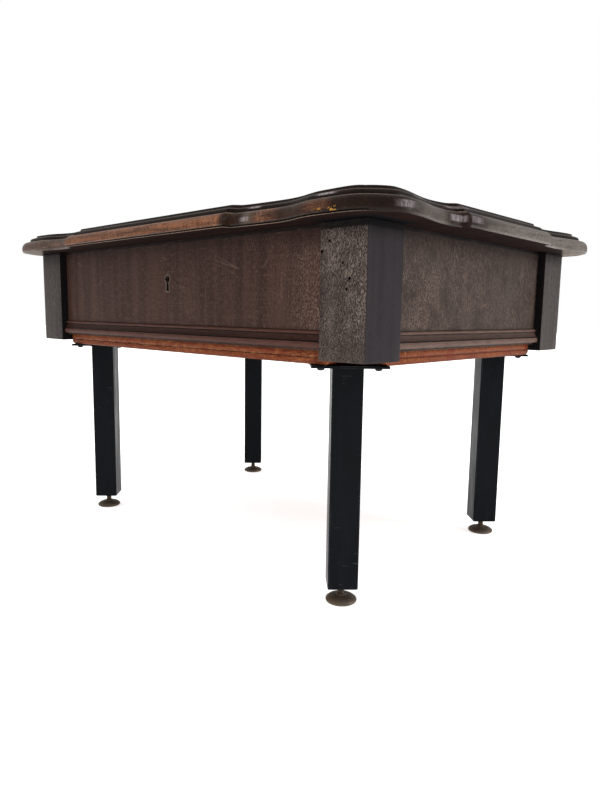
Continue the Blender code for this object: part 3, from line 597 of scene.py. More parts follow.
# Worm holes in the near post: distances right of its left edge, and down from its top
WORM_HOLES = [(0.0125, 0.0190), (0.0024, 0.0290), (0.0300, 0.0410), (0.0387, 0.0564), (0.0350, 0.0668)]


def bore_worm_holes(post, low, high):
    holes = []
    for number, (across, down) in enumerate(WORM_HOLES):
        start = Vector((low.x + across, low.y - 0.001, high.z - down))
        lean = Vector((0.001 * sin(number * 2.1), 0.012, 0.001 * cos(number * 1.7)))
        radius = 0.0014 + 0.0003 * (number % 2)
        # Each hole is lined with the black painted shade
        holes.append(rod(f"worm_hole_{number}", radius, start, start + lean, RECESS_SHADE, 14))
    cut(post, *holes, keep_material=True)


def make_posts():
    """Slightly uneven corner posts, with black painted shade inside the recesses and darker painted shade on the
    near one's right face; worm has bored the near one's front face.
    """
    inside_x, inside_y = INNER_W + 0.001, INNER_D + 0.001
    for name, sx, sy in CORNERS:
        low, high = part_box(f"post_{name}")
        near = name == "front_right"
        bm = cuboid(low, high)
        bevel(bm, 0.0011, 3)
        divide(bm, low, high, 0.02, (0, 1, 2))
        post = from_bmesh(f"corner_post_{name}", bm, NEAR_POST if near else POSTS, 50.0)
        wobble(post, 0.00018, 30.0, low.x * 9)
        if near:
            bore_worm_holes(post, low, high)
            # The near post's right face is darker: painted shade
            paint_faces(post, SHADED_SIDE_POST, lambda normal, centre: normal.x > 0.6 and centre.x > HALF_W - 0.001)
        # Black painted shade on the faces beside the recessed panels
        paint_faces(post, RECESS_SHADE, lambda normal, centre: (normal.x * sx < -0.6 and centre.x * sx < inside_x)
                    or (normal.y * sy < -0.6 and centre.y * sy < inside_y))
        dress(post, "case", "post_wood", f"post_{name}")


def finish_panels():
    for name, material in (("front", PANEL), ("back", BACK), ("left", SIDE), ("right", SIDE)):
        finish_node(f"{name}_panel", material)


# Base mouldings

def moulding_profile():
    """(depth, height above the posts' foot, groove, rub): a rounded foot, a quirk, a cove, a quirk and a bead;
    groove is where shade is painted, rub where wear and a highlight are.
    """
    points = [(0.0, 0.0116, 1.0, 0.0), (0.0048, 0.0116, 1.0, 0.0), (0.0060, 0.0119, 0.6, 0.0)]
    points += [(0.0060 + 0.0007 * sin(pi * t), 0.0124 + 0.0060 * t, 0.0, 1.0) for t in shares(4)]
    points += [(0.0050, 0.0189, 0.3, 0.0), (0.0038, 0.0190, 1.0, 0.0), (0.0038, 0.0198, 1.0, 0.0)]
    points += [(0.0052, 0.0200, 0.0, 0.0)]
    points += [(0.0050 - 0.0024 * sin(pi / 2 * t), 0.0203 + 0.0056 * t, 0.0, 0.15) for t in shares(5)]
    points += [(0.0016, 0.0261, 1.0, 0.0), (0.0016, 0.0266, 1.0, 0.0)]
    points += [(0.0020 + 0.0014 * sin(pi * t), 0.0267 + 0.0037 * t, 0.0, 0.9) for t in shares(5)]
    return points + [(0.0010, 0.0306, 0.6, 0.0), (0.0, 0.0310, 1.0, 0.0)]


def make_mouldings():
    profile = moulding_profile()
    values = {"groove": lambda row, index: profile[index][2], "rub": lambda row, index: profile[index][3]}
    spots = {"front": lambda place, depth: (place, PANEL_FACE_Y - GAP - depth),
             "left": lambda place, depth: (-SIDE_FACE_X - GAP - depth, place),
             "right": lambda place, depth: (SIDE_FACE_X + GAP + depth, place)}
    for name, spot in spots.items():
        reach = (INNER_W if name == "front" else INNER_D) - GAP
        places = [reach * (2 * share - 1) for share in shares(90)]
        rings = [[(*spot(place, depth), CASE_BOTTOM + height) for depth, height, _, _ in profile]
                 for place in places]
        strip = loft(f"{name}_moulding_strip", rings, MOULDING, values=values)
        wobble(strip, 0.00018, 22.0, 0.0 if name == "front" else 4.0)
        dress(strip, "case", "panel_wood", f"{name}_base_moulding")


# Bottom board and lining

def board_plan(edge, end):
    """The board's plan: its outer edges moved in by edge, its notch walls moved back by end."""
    x, y = BOARD_HIGH.x - edge, BOARD_HIGH.y - edge
    notch_x, notch_y = INNER_W - GAP - end, INNER_D - GAP - end
    quarter = [(x, notch_y), (notch_x, notch_y), (notch_x, y)]
    points = []
    for sx, sy, order in ((1, 1, 1), (-1, 1, -1), (-1, -1, 1), (1, -1, -1)):
        points += [(sx * px, sy * py) for px, py in quarter[::order]]
    return points


def screw_places():
    """(leg name, number, place) of each leg screw, from its CAD solid."""
    for leg, _, _ in CORNERS:
        for number in range(1, 5):
            middle = sum(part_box(f"leg_screw_{leg}_{number}"), Vector()) / 2
            yield leg, number, Vector((middle.x, middle.y, PLATE_BOTTOM))


def make_board():
    """The board's edge is two rounded layers with a groove between; its lower ends are rounded off."""
    layer = (BOARD_HIGH.z - BOARD_LOW.z) / 2
    round_end = 0.0055
    rings, groove = [], []
    for base in (0.0, layer):
        for share in shares(8):
            height = base + layer * share
            short = max(0.0, round_end - height)
            back = round_end - sqrt(max(0.0, round_end ** 2 - short ** 2))
            plan = board_plan(0.0008 * (1 - sin(pi * share) ** 0.6), back)
            rings.append([(x, y, BOARD_LOW.z + height) for x, y in plan])
            groove.append(max(0.0, 1 - abs(height - layer) / 0.0017))
    plan = board_plan(0.0, 0.0)

    def groove_of(row, index):
        on_side = abs(plan[index][0]) > INNER_W
        return groove[row] * (1.0 if on_side else 0.15)

    board = loft("ply_board", rings, BOARD, 30.0, values={"groove": groove_of})
    low, high = BOARD_LOW.z - 0.002, BOARD_LOW.z + 0.0145
    cut(board, *[rod(f"pilot_{leg}_{number}", 0.0026, (p.x, p.y, low), (p.x, p.y, high), BOARD, 16)
                 for leg, number, p in screw_places()])
    dress(board, "case", "board_wood", "bottom_board")


def lining_ring(height, inset):
    """The lining's outline at a height, with its corners cut out round the posts."""
    x, y0, y1 = LINING_HIGH.x - inset, LINING_LOW.y + inset, LINING_HIGH.y - inset
    nx, ny = INNER_W - 2 * GAP - inset, INNER_D - 2 * GAP - inset
    plan = [(x, -ny), (x, ny), (nx, ny), (nx, y1), (-nx, y1), (-nx, ny), (-x, ny), (-x, -ny),
            (-nx, -ny), (-nx, y0), (nx, y0), (nx, -ny)]
    return [(px, py, height) for px, py in plan]


def make_lining():
    """A card, and a felt sheet laid on it with a barely uneven nap and soft cut edges."""
    split = LINING_LOW.z + 0.0018
    card_board = loft("lining_card", [lining_ring(height, 0.0002) for height in (LINING_LOW.z, split)], CARD)
    dress(card_board, "case", "felt", "lining_board")
    bm = bmesh.new()
    skin(bm, [[bm.verts.new(point) for point in lining_ring(split + height, inset)]
              for height, inset in ((0.0001, 0.0004), (0.0005, 0.0), (0.0008, 0.0001), (0.0011, 0.0006))])
    divide(bm, LINING_LOW, LINING_HIGH, 0.012, (0, 1))
    for vert in bm.verts:
        if vert.co.z > split + 0.0009:
            vert.co.z += 0.00018 * noise.noise(vert.co * 45) - 0.00002
    sheet = from_bmesh("felt_sheet", bm, FELT, 60.0)
    dress(sheet, "case", "felt")


# Legs, plates, screws, feet

def make_leg_details():
    """Paint on the tubes and plates, and a weld bead where each tube meets its plate."""
    half = LEG_SIDE / 2
    side = [(half, half * (2 * step / 14 - 1)) for step in range(14)]
    path = side + [(-y, x) for x, y in side] + [(-x, -y) for x, y in side] + [(y, -x) for x, y in side]
    eighth_turn = Matrix.Rotation(pi / 4, 2)
    for name, _, _ in CORNERS:
        finish_node(f"leg_{name}", PAINT)
        finish_node(f"leg_plate_{name}", PAINT)
        low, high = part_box(f"leg_{name}")
        centre = (low + high) / 2
        rings = []
        for index, spot in enumerate(path):
            lump = noise.noise(Vector((index * 0.7, centre.x * 9, 0)))
            bead = 0.0019 + 0.00025 * sin(index * 2.4) + 0.0002 * lump
            section = [(bead * cos(pi / 2 * t) + 0.0002, bead * sin(pi / 2 * t) + 0.0001) for t in shares(6)]
            ring = []
            for reach, drop in section + [(-0.0004, bead * 1.02), (-0.0004, 0.0001)]:
                spun = eighth_turn @ (Vector(spot) + Vector(spot).normalized() * reach)
                ring.append((centre.x + spun.x, centre.y + spun.y, PLATE_BOTTOM - drop))
            rings.append(ring)
        weld = loft(f"weld_bead_{name}", rings, PAINT, 60.0, closed=True)
        dress(weld, "case", "black_steel")


# (radius, height) of a leg screw, from its point to the top of its pan head, which faces down
SCREW_PROFILE = [(0.0, 0.0160), (0.0009, 0.0152), (0.0020, 0.0130), (0.0022, 0.0040), (0.0022, -GAP),
                 (0.0040, -GAP), (0.0042, -0.0006), (0.0041, -0.0014), (0.0036, -0.0023), (0.0025, -0.0029),
                 (0.0012, -0.0032), (0.0, -0.0033)]


def make_screws():
    """Pan-head screws with a cross recess; the slots point every which way."""
    rng = random.Random(11)
    for leg, number, place in screw_places():
        screw = turned(f"pan_screw_{leg}_{number}", SCREW_PROFILE, place, STEEL, 32)
        turn = rng.uniform(0, pi)
        bars = []
        for angle in (turn, turn + pi / 2):
            bar = block("slot_bar", (-0.0023, -0.00045, -0.0040), (0.0023, 0.00045, -0.0020), STEEL)
            bar.data.transform(Matrix.Translation(place) @ Matrix.Rotation(angle, 4, "Z"))
            bars.append(bar)
        cut(screw, *bars)
        dress(screw, "case", "screw_metal", f"leg_screw_{leg}_{number}")


def foot_profile(collar):
    """(radius, height) of a levelling foot: its socket, collar, hollow slope, rim and base."""
    points = [(0.0, collar - 0.0002), (0.0030, collar - 0.0002), (0.0030, collar), (0.0053, collar),
              (0.0056, collar - 0.0003), (0.0056, collar - 0.0014), (0.0060, collar - 0.0018)]
    points += [(0.0065 + 0.0115 * t, 0.0074 - 0.0006 * t - 0.0034 * t ** 3) for t in shares(10)]
    return points + [(0.0183, 0.0028), (0.0184, 0.0021), (0.0183, 0.0014), (0.0178, 0.0006), (0.0171, 0.0001),
                     (0.0168, 0.0), (0.0, 0.0)]


def make_feet():
    """Levelling feet: a turned disc with a collar, and a stud with a real thread."""
    collar, stud, pitch, thread_depth, around = 0.0095, 0.0040, 0.00125, 0.00062, 24
    for name, _, _ in CORNERS:
        low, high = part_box(f"foot_{name}")
        x, y = (low.x + high.x) / 2, (low.y + high.y) / 2
        disc = turned(f"foot_disc_{name}", foot_profile(collar), (x, y, 0.0), FOOT_METAL, 64)
        dress(disc, f"foot_{name}", "foot_metal", f"foot_{name}")
        height = high.z - collar
        rings = []
        for share in shares(int(height / pitch * 6)):
            z = collar + height * share
            taper = min(1.0, (high.z - z) / 0.0012 + 0.55)
            ring = []
            for step in range(around):
                turn = step / around
                radius = (stud - thread_depth * abs(2 * ((z / pitch - turn) % 1.0) - 1)) * taper
                ring.append((x + radius * cos(2 * pi * turn), y + radius * sin(2 * pi * turn), z))
            rings.append(ring)
        dress(loft(f"foot_stud_{name}", rings, FOOT_METAL, 30.0), f"foot_{name}", "foot_metal")


# Lid

# How far the outline stands out from the case on the front and the side, at its proud runs and at its waists
FRONT_OUT, SIDE_OUT = 0.0337, 0.0390
FRONT_WAIST_OUT, SIDE_WAIST_OUT = 0.0208, 0.0277
# How far the outline steps back where a proud run ends, and how far each run goes from the middle of its side
BREAK = 0.0085
RUN_LEFT, RUN_RIGHT = 0.193, 0.164
RUN_FRONT, RUN_BACK = 0.1125, 0.098
NOSE_KNOT, LAST_KNOT = 6, 12


def lid_quarter(run_x, run_y):
    """Knots of the lid's outline, front middle to right middle; its proud runs end at run_x and -run_y.

    Each is (point, way in, way out, handle in, handle out, inward); inward is how far and which way the
    upper members of the edge are set back there, for each metre of set-back.
    """
    along_x, along_y = Vector((1, 0)), Vector((0, 1))
    diagonal = Vector((1, 1)).normalized()
    front_y, side_x = -(HALF_D + FRONT_OUT), HALF_W + SIDE_OUT
    to_back, to_middle = Vector((0, 1)), Vector((-1, 0))
    front_break, side_break = Vector((-0.40, 1)), Vector((-1, 0.40))
    nose = Vector((-1.17, 1.17)) * sqrt(0.5)
    return [
        ((0.0, front_y), along_x, along_x, 0.0, 0.030, to_back),
        ((run_x - 0.030, front_y), along_x, along_x, 0.030, 0.010, to_back),
        ((run_x, front_y), along_x, along_x, 0.010, 0.0, front_break),
        ((run_x + 0.0015, front_y + BREAK), along_x, Vector((0.97, 0.24)), 0.0, 0.012, to_back),
        ((HALF_W - 0.111, -(HALF_D + FRONT_WAIST_OUT)), along_x, along_x, 0.016, 0.036, to_back),
        ((HALF_W - 0.036, front_y), along_x, along_x, 0.032, 0.024, Vector((-0.15, 1))),
        ((HALF_W + 0.0174, -(HALF_D + 0.0244)), diagonal, diagonal, 0.014, 0.014, nose),
        ((HALF_W + 0.0387, -(HALF_D - 0.015)), along_y, along_y, 0.012, 0.030, Vector((-1, 0.15))),
        ((HALF_W + SIDE_WAIST_OUT, -(HALF_D - 0.099)), along_y, along_y, 0.030, 0.008, to_middle),
        ((side_x - BREAK, -run_y - 0.0015), Vector((0.24, 0.97)), along_y, 0.008, 0.0, to_middle),
        ((side_x, -run_y), along_y, along_y, 0.0, 0.010, side_break),
        ((side_x, -run_y + 0.030), along_y, along_y, 0.010, 0.020, to_middle),
        ((side_x, 0.0), along_y, along_y, 0.020, 0.0, to_middle),
    ]


def outline_run(run_x, run_y, first_knot, last_knot):
    """(point, inward) pairs of the outline between two knots."""
    knots = lid_quarter(run_x, run_y)[first_knot:last_knot + 1]
    points = []
    for (start, _, leaving, _, reach, first), (end, arriving, _, back, _, last) in zip(knots, knots[1:]):
        start, end = Vector(start), Vector(end)
        count = max(4, int((end - start).length / 0.003))
        curve = interpolate_bezier(start, start + leaving * reach, end - arriving * back, end, count + 1)
        points += [(point.xy, first.lerp(last, i / count)) for i, point in enumerate(curve[:-1])]
    return points + [(Vector(knots[-1][0]), knots[-1][5])]


def mirrored(run, x, y):
    return [(Vector((p.x * x, p.y * y)), Vector((n.x * x, n.y * y))) for p, n in reversed(run)]


def lid_edges():
    """(point, inward) pairs of the front edge from nose to nose, and of the right edge from nose to nose."""
    front_left = outline_run(RUN_LEFT, RUN_FRONT, 0, NOSE_KNOT)
    front_right = outline_run(RUN_RIGHT, RUN_FRONT, 0, NOSE_KNOT)
    right_front = outline_run(RUN_RIGHT, RUN_FRONT, NOSE_KNOT, LAST_KNOT)
    right_back = outline_run(RUN_RIGHT, RUN_BACK, NOSE_KNOT, LAST_KNOT)
    return mirrored(front_left[1:], -1, 1) + front_right, right_front + mirrored(right_back[:-1], 1, -1)


# (set-back, height, light) of the lip where it is cracked, and (set-back, height) where it is sound; light is 1
# on a worn arris with a painted highlight and -1 where shade is painted in the crack
LIP = [(0.0036, 0.0, 0.0), (0.0028, 0.0002, 0.0), (0.0024, 0.0005, 0.6), (0.0023, 0.0011, 1.0),
       (0.0027, 0.0013, 0.0), (0.0046, 0.0013, -1.0), (0.0046, 0.0024, -1.0), (0.0012, 0.0024, -1.0),
       (0.0004, 0.0031, 0.0)]
SOUND_LIP = [(0.0034, 0.0), (0.0024, 0.0001), (0.0017, 0.0003), (0.0012, 0.0006), (0.0009, 0.0009),
             (0.0006, 0.0013), (0.0004, 0.0017), (0.0002, 0.0021), (0.0001, 0.0026)]
ROLL_STEPS, OVOLO_STEPS, COVE_STEPS = 16, 8, 6
ROLL_TOP = len(LIP) + 2 + ROLL_STEPS
OVOLO_TOP = ROLL_TOP + 4 + OVOLO_STEPS


def lid_profile(crack):
    """(set-back, height) of the lid's edge: lip, roll, fillet, small ovolo, fillet and cove.

    crack is 1 where the lip has parted from the roll above it, and 0 where the roll runs down to the underside.
    """
    points = [(open_lip[0] * crack + sound[0] * (1 - crack), open_lip[1] * crack + sound[1] * (1 - crack))
              for open_lip, sound in zip(LIP, SOUND_LIP)]
    points += [(0.0, 0.0036), (0.0, 0.0050)]
    points += [(0.0110 * (1 - cos(pi / 2 * t)) ** 1.15, 0.0050 + 0.0122 * sin(pi / 2 * t))
               for t in shares(ROLL_STEPS)[1:]]
    points += [(0.0114, 0.0172), (0.0116, 0.0176), (0.0117, 0.0188), (0.0120, 0.0192)]
    points += [(0.0120 + 0.0050 * (1 - cos(pi / 2 * t)), 0.0192 + 0.0040 * sin(pi / 2 * t))
               for t in shares(OVOLO_STEPS)[1:]]
    points += [(0.0173, 0.0232), (0.0175, 0.0236)]
    points += [(0.0175 + 0.0042 * sin(pi / 2 * t), 0.0236 + 0.0034 * (1 - cos(pi / 2 * t)))
               for t in shares(COVE_STEPS)[1:]]
    return points + [(0.0218, LID_THICK - 0.0002), (0.0222, LID_THICK)]


# How the edge has worn, and where highlights and shade are painted on it: (place along the edge, amount),
# straight between and level beyond. The front is measured in x, the right side in y. "scuff" is white
# scratches and painted highlights on the roll; "glint" is the painted highlight on the gloss of the small ovolo.
WEAR_AND_PAINTED_LIGHT = {
    "rub": {"front": [(-0.37, 0.3), (-0.30, 0.4), (-0.205, 0.5), (-0.19, 0.9), (0.155, 1.0), (0.161, 0.15),
                      (0.182, 0.05), (0.190, 0.25), (0.203, 0.45), (0.208, 0.95), (0.226, 0.6), (0.240, 0.15),
                      (0.275, 0.12), (0.293, 0.6), (0.310, 0.4), (0.320, 0.05), (0.37, 0.0)],
            "right": [(-0.26, 0.0), (0.25, 0.15)]},
    "dust": {"front": [(-0.37, 0.4), (-0.20, 0.35), (-0.18, 0.0), (0.180, 0.0), (0.188, 0.45), (0.205, 0.05),
                       (0.225, 0.0)],
             "right": [(-0.235, 0.0), (-0.21, 0.25), (-0.19, 0.55), (-0.15, 0.55), (-0.135, 0.05), (-0.1, 0.05),
                       (-0.085, 0.15), (-0.07, 0.5), (0.0, 0.85), (0.24, 1.0)]},
    "scuff": {"front": [(0.180, 0.0), (0.187, 0.5), (0.199, 0.0)],
              "right": [(-0.241, 0.0), (-0.232, 0.36), (-0.222, 0.33), (-0.210, 0.0), (-0.136, 0.0), (-0.130, 0.5),
                        (-0.1135, 0.35), (-0.1128, 0.0), (-0.1105, 0.0), (-0.1075, 0.48), (-0.092, 0.28),
                        (-0.082, 0.0)]},
    "glint": {"front": [(0.180, 0.0), (0.186, 0.6), (0.196, 0.6), (0.202, 0.0), (0.290, 0.0), (0.298, 0.7),
                        (0.312, 0.7), (0.322, 0.0)],
              "right": [(-0.205, 0.0), (-0.19, 0.3), (-0.17, 0.0), (-0.13, 0.0), (-0.12, 0.4), (-0.09, 0.0)]},
    "chips": {"front": [(0.296, 0.0), (0.308, 0.8), (0.326, 0.9), (0.335, 0.0)], "right": [(0.0, 0.0)]},
    "crack": {"front": [(-0.21, 0.0), (-0.19, 0.7), (-0.12, 1.0), (0.33, 1.0), (0.36, 0.3), (0.38, 0.0)],
              "right": [(-0.27, 0.2), (-0.24, 0.0)]},
}


def worn(kind, side, point):
    """The amount at a point of an edge, from one of the tables of wear and painted light."""
    table = WEAR_AND_PAINTED_LIGHT[kind][side]
    place = point.x if side == "front" else point.y
    if place <= table[0][0]:
        return table[0][1]
    for (start, first), (end, last) in zip(table, table[1:]):
        if place <= end:
            return first + (last - first) * (place - start) / (end - start)
    return table[-1][1]


def chip_depth(point):
    """How deep the lip of the roll is chipped at a plan point: knocks along it, most near the front-right ear."""
    knock = noise.noise(Vector((point.x * 60, point.y * 60, 1.7)))
    small = noise.noise(Vector((point.x * 210, point.y * 210, 4.1)))
    near = max(0.0, 1 - (Vector((point.x, point.y)) - Vector((HALF_W - 0.015, -HALF_D - 0.045))).length / 0.055)
    return max(0.0, knock - 0.30) * 0.0012 + max(0.0, small - 0.15) * 0.0016 * near


OPEN_X = -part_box("glazing_bead_left")[1].x
OPEN_Y = -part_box("glazing_bead_front")[1].y
REBATE_X, REBATE_Y = OPEN_X + 0.010, OPEN_Y + 0.010
REBATE_FLOOR = GLASS_LOW.z - GAP


def rail_rings(edge, side):
    """One closed section for each point of a rail's outer edge. side is "front" or "right"."""
    inner = [(REBATE_X + 0.0004, REBATE_Y + 0.0004, LID_TOP), (REBATE_X, REBATE_Y, LID_TOP - 0.0004),
             (REBATE_X, REBATE_Y, REBATE_FLOOR), (OPEN_X, OPEN_Y, REBATE_FLOOR),
             (OPEN_X, OPEN_Y, LID_BOTTOM + 0.0005), (OPEN_X + 0.0005, OPEN_Y + 0.0005, LID_BOTTOM)]
    nose = edge[-1][0]
    rings = []
    for point, inward in edge:
        chip = chip_depth(point)
        ring = []
        for setback, height in lid_profile(worn("crack", side, point)):
            place = point + inward * (setback + chip * max(0.0, 1 - abs(height - 0.0024) / 0.0030))
            ring.append((place.x, place.y, LID_BOTTOM + height))
        if side == "front":
            ring += [(x * point.x / nose.x, -y, z) for x, y, z in inner]
        else:
            ring += [(x, y * point.y / nose.y, z) for x, y, z in inner]
        rings.append(ring)
    return rings


def wear_values(edge, side):
    """The wear, painted highlight and painted shade attributes of a rail, as functions of ring and point."""
    lip = len(LIP)
    scuff_and_highlight_rows = range(lip + 2, ROLL_TOP - 10 if side == "right" else lip + 6)
    ovolo = range(ROLL_TOP + 5, OVOLO_TOP - 3)
    # Painted highlight lines along the crests of the roll and the small ovolo
    crest_highlights = {ROLL_TOP - 5: 0.5, ROLL_TOP - 4: 1.0, ROLL_TOP - 3: 1.0, ROLL_TOP - 2: 1.0, ROLL_TOP - 1: 0.6,
              OVOLO_TOP - 4: 0.3, OVOLO_TOP - 3: 0.55, OVOLO_TOP - 2: 0.55}
    # Painted shade in the quirks above the roll and above the small ovolo
    quirk_shades = {ROLL_TOP + 2: 0.8, OVOLO_TOP + 1: 0.8}

    def amount(kind, row, shown):
        return worn(kind, side, edge[row][0]) * shown

    def roll(row, index):
        return float(1 <= index < ROLL_TOP)

    # The lip's worn arris with a painted highlight, and the painted shade in its crack
    def lip_light_and_shade(row, index, sign):
        return amount("crack", row, max(0.0, sign * LIP[index][2])) if index < lip else 0.0

    return {
        "roll": roll,
        "rub": lambda row, index: amount("rub", row, roll(row, index)),
        "dust": lambda row, index: amount("dust", row, roll(row, index)),
        "scuff": lambda row, index: max(amount("scuff", row, index in scuff_and_highlight_rows),
                                        amount("glint", row, index in ovolo)),
        "arris": lambda row, index: max(lip_light_and_shade(row, index, 1), crest_highlights.get(index, 0.0)),
        "groove": lambda row, index: max(lip_light_and_shade(row, index, -1), quirk_shades.get(index, 0.0)),
        "chips": lambda row, index: amount("chips", row, lip - 1 <= index < lip + 3),
    }


def make_rails():
    """Four mitred rails; each end stops short of its mitre by half the gap between the rails."""
    front, right = lid_edges()
    rails = {}
    for name, edge, side, sign, material in (
            ("front", front, "front", 1, LID_X), ("back", front, "front", -1, LID_X),
            ("right", right, "right", 1, LID_Y), ("left", right, "right", -1, LID_Y)):
        flip_x, flip_y = (1, sign) if side == "front" else (sign, 1)
        rings = [[Vector((flip_x * x, flip_y * y, z)) for x, y, z in ring] for ring in rail_rings(edge, side)]
        slide = Vector((GAP / 4, 0, 0) if side == "front" else (0, GAP / 4, 0))
        rings[0] = [point + slide for point in rings[0]]
        rings[-1] = [point - slide for point in rings[-1]]
        rails[name] = loft(f"moulded_rail_{name}", rings, material, 32.0, values=wear_values(edge, side))
        wobble(rails[name], 0.00010, 25.0, 3.0 * sign)
    cut_strike(rails["front"])
    cut_hinges(rails["back"])
    for name, rail in rails.items():
        paint_faces(rail, UNDERSIDE, lambda normal, centre: normal.z < -0.7 and centre.z < LID_BOTTOM + 0.0004)
        dress(rail, "lid", "lid_wood", f"lid_rail_{name}")


def cut_strike(rail):
    """The strike plate's recess, and the pocket that the bolt rises into."""
    low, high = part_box("strike_plate")
    bolt_low, bolt_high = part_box("lock_bolt")
    play, pocket_depth = 0.0011, 0.0105
    recess = block("recess", (low.x - GAP, low.y - GAP, low.z - 0.01), (high.x + GAP, high.y + GAP, high.z + GAP),
                   LID_X)
    pocket = block("pocket", (bolt_low.x - play, bolt_low.y - play, low.z - 0.01),
                   (bolt_high.x + play, bolt_high.y + play, low.z + pocket_depth), LID_X)
    cut(rail, recess, pocket)


def cut_hinges(rail):
    """A shallow recess for each lid leaf, and a round groove for each barrel."""
    leaf, barrel = 0.002, 0.0041
    cutters = []
    for side in ("left", "right"):
        low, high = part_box(f"hinge_lid_leaf_{side}")
        start, end = low.x - GAP, high.x + GAP
        cutters.append(block(f"leaf_recess_{side}", (start, HINGE_AXIS.y, LID_BOTTOM - 0.01),
                             (end, high.y + GAP, LID_BOTTOM + leaf + GAP), LID_X))
        cutters.append(rod(f"groove_{side}", barrel, (start, *HINGE_AXIS.yz), (end, *HINGE_AXIS.yz), LID_X))
    cut(rail, *cutters)


def make_beads():
    """Quarter-round glazing beads, mitred at the corners."""
    for name in ("front", "back", "left", "right"):
        low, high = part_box(f"glazing_bead_{name}")
        long_x = name in ("front", "back")
        sign = -1 if name in ("front", "left") else 1
        outer, length = (REBATE_Y - GAP, REBATE_X - GAP) if long_x else (REBATE_X - GAP, REBATE_Y - GAP)
        wide = outer - (OPEN_Y if long_x else OPEN_X)
        tall = high.z - low.z
        section = [(0.0, 0.0), (0.0, tall), (0.0022, tall)]
        section += [(0.0022 + (wide - 0.0030) * sin(pi / 2 * t), 0.0008 + (tall - 0.0008) * cos(pi / 2 * t))
                    for t in shares(12)[1:]]
        section += [(wide - 0.0008, 0.0)]
        rings = []
        for share in shares(40):
            ring = []
            for inset, height in section:
                reach = (length - inset - GAP * 0.3) * (2 * share - 1)
                across = sign * (outer - inset)
                ring.append((reach, across, low.z + height) if long_x else (across, reach, low.z + height))
            rings.append(ring)
        bead = loft(f"quarter_bead_{name}", rings, LID_X if long_x else LID_Y, 30.0)
        dress(bead, "lid", "lid_wood", f"glazing_bead_{name}")


def make_glass():
    """The pane with its ground arris."""
    bm = cuboid(GLASS_LOW, GLASS_HIGH)
    bevel(bm, 0.0004, 2)
    dress(from_bmesh("float_glass", bm, GLASS, 30.0), "lid", "glass", "glass_pane")


# Lock and hinges

def countersunk(name, place, way, body, radius):
    """A slotted countersunk screw head, let in flush; way is the direction it faces."""
    profile = [(0.0, 0.00012), (radius * 0.5, 0.00011), (radius * 0.92, 0.00004), (radius, -0.00006),
               (radius * 0.6, -0.0012), (0.0, -0.0012)]
    head = turned(name, profile, (0, 0, 0), BRASS, 28)
    slot = block("slot", (-radius * 1.2, -0.0003, -0.0004), (radius * 1.2, 0.0003, 0.001), BRASS)
    slot.data.transform(Matrix.Rotation(len(name) * 0.9, 4, "Z"))
    cut(head, slot)
    head.data.transform(Matrix.Translation(place) @ Vector(way).to_track_quat("Z", "Y").to_matrix().to_4x4())
    dress(head, body, "brass")


def make_fittings():
    """Metal on the lock and hinges, and the countersunk screws that hold them."""
    leaf_screw, plate_screw = 0.0026, 0.0022
    for name in ("lock_case", "lock_bolt", "strike_plate"):
        finish_node(name, BRASS)
    finish_node("keyhole_liner", RIM_METAL)
    for side in ("left", "right"):
        for part in ("case_leaf", "lid_leaf", "pin"):
            finish_node(f"hinge_{part}_{side}", BRASS)
        low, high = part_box(f"hinge_case_leaf_{side}")
        for number, dx in enumerate((-0.024, 0.0, 0.024)):
            x = (low.x + high.x) / 2 + dx
            drop = 0.017 + 0.004 * (number % 2)
            countersunk(f"case_leaf_screw_{side}_{number}", (x, HALF_D, HINGE_AXIS.z - drop), (0, 1, 0), "case",
                        leaf_screw)
            countersunk(f"lid_leaf_screw_{side}_{number}", (x, HINGE_AXIS.y + drop, LID_BOTTOM), (0, 0, -1), "lid",
                        leaf_screw)
    strike_low, strike_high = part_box("strike_plate")
    lock_low, lock_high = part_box("lock_case")
    for number, sign in enumerate((-1, 1)):
        place = (sign * 0.022, (strike_low.y + strike_high.y) / 2, strike_low.z)
        countersunk(f"strike_screw_{number}", place, (0, 0, -1), "lid", plate_screw)
        place = (sign * 0.024, (lock_low.y + lock_high.y) / 2, lock_high.z)
        countersunk(f"selvedge_screw_{number}", place, (0, 0, 1), "case", plate_screw)


# Floor, light and camera

def make_floor():
    """A white floor that glows a little, so that it stays white out to the horizon."""
    shader = Shader("floor", srgb(243, 243, 242), Roughness=0.75, Specular_IOR_Level=0.15, Emission_Strength=0.48)
    shader.paint(srgb(248, 248, 248), shader.noise(3, detail=4))
    shader.set("Emission Color", shader.colour)
    bm = bmesh.new()
    bmesh.ops.create_circle(bm, cap_ends=True, segments=96, radius=14.0)
    from_bmesh("floor", bm, shader.material)


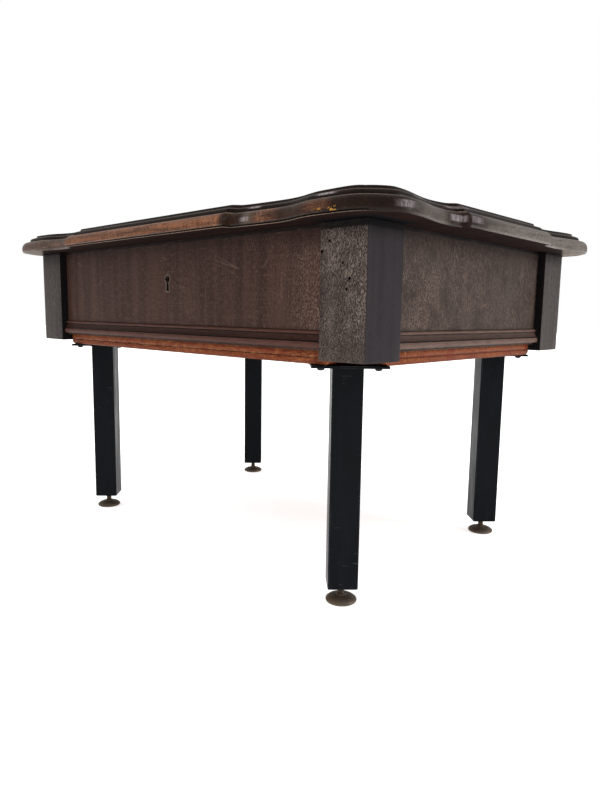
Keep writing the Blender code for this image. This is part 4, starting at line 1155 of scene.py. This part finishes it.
def make_world():
    """Even white light from all round; the camera sees it as pure white."""
    world = bpy.data.worlds.new("studio")
    bpy.context.scene.world = world
    world.use_nodes = True
    tree = world.node_tree
    light = tree.nodes["Background"]
    seen = tree.nodes.new("ShaderNodeBackground")
    for node, colour, strength in ((light, (1.0, 0.99, 0.975, 1.0), 0.45), (seen, (1.0, 1.0, 1.0, 1.0), 1.0)):
        node.inputs["Color"].default_value = colour
        node.inputs["Strength"].default_value = strength
    path = tree.nodes.new("ShaderNodeLightPath")
    mix = tree.nodes.new("ShaderNodeMixShader")
    tree.links.new(path.outputs["Is Camera Ray"], mix.inputs[0])
    tree.links.new(light.outputs[0], mix.inputs[1])
    tree.links.new(seen.outputs[0], mix.inputs[2])
    tree.links.new(mix.outputs[0], tree.nodes["World Output"].inputs["Surface"])


def place_light(data, place, target):
    lamp = bpy.data.objects.new(data.name, data)
    bpy.context.scene.collection.objects.link(lamp)
    lamp.location = place
    lamp.rotation_euler = (Vector(target) - Vector(place)).to_track_quat("-Z", "Y").to_euler()
    return lamp


def make_lights():
    """A broad, even sky that lights the floor all the way out, and a window-like lamp to the right."""
    sky = bpy.data.lights.new("sky", "SUN")
    sky.energy = 3.5
    sky.angle = radians(110)
    place_light(sky, (-0.4, -0.6, 3.0), (0, 0, 0)).visible_glossy = False
    window = bpy.data.lights.new("window", "AREA")
    window.shape = "RECTANGLE"
    window.size, window.size_y = 0.8, 0.9
    window.energy = 26
    window.color = (0.95, 0.97, 1.0)
    place_light(window, (2.2, 1.0, 1.05), (0.3, -0.1, 0.42))


def make_camera():
    """A wide view from close to the front-right corner, with the eye a little lower than the lid."""
    place, lens = (0.7079, -0.7219, 0.3345), 28.32
    yaw, pitch, roll = (radians(angle) for angle in (43.12, 7.817, 0.863))
    turn = Matrix.Rotation(yaw, 4, "Z") @ Matrix.Rotation(pi / 2 - pitch, 4, "X") @ Matrix.Rotation(roll, 4, "Z")
    data = bpy.data.cameras.new("camera")
    data.lens = lens
    data.sensor_width = 36.0
    data.clip_start = 0.01
    camera = bpy.data.objects.new("camera", data)
    bpy.context.scene.collection.objects.link(camera)
    camera.matrix_world = Matrix.Translation(place) @ turn
    bpy.context.scene.camera = camera


make_camera()
make_floor()
make_world()
make_lights()
bpy.context.scene.view_settings.view_transform = "Standard"
make_posts()
finish_panels()
make_mouldings()
make_board()
make_lining()
make_leg_details()
make_screws()
make_feet()
make_rails()
make_beads()
make_glass()
make_fittings()
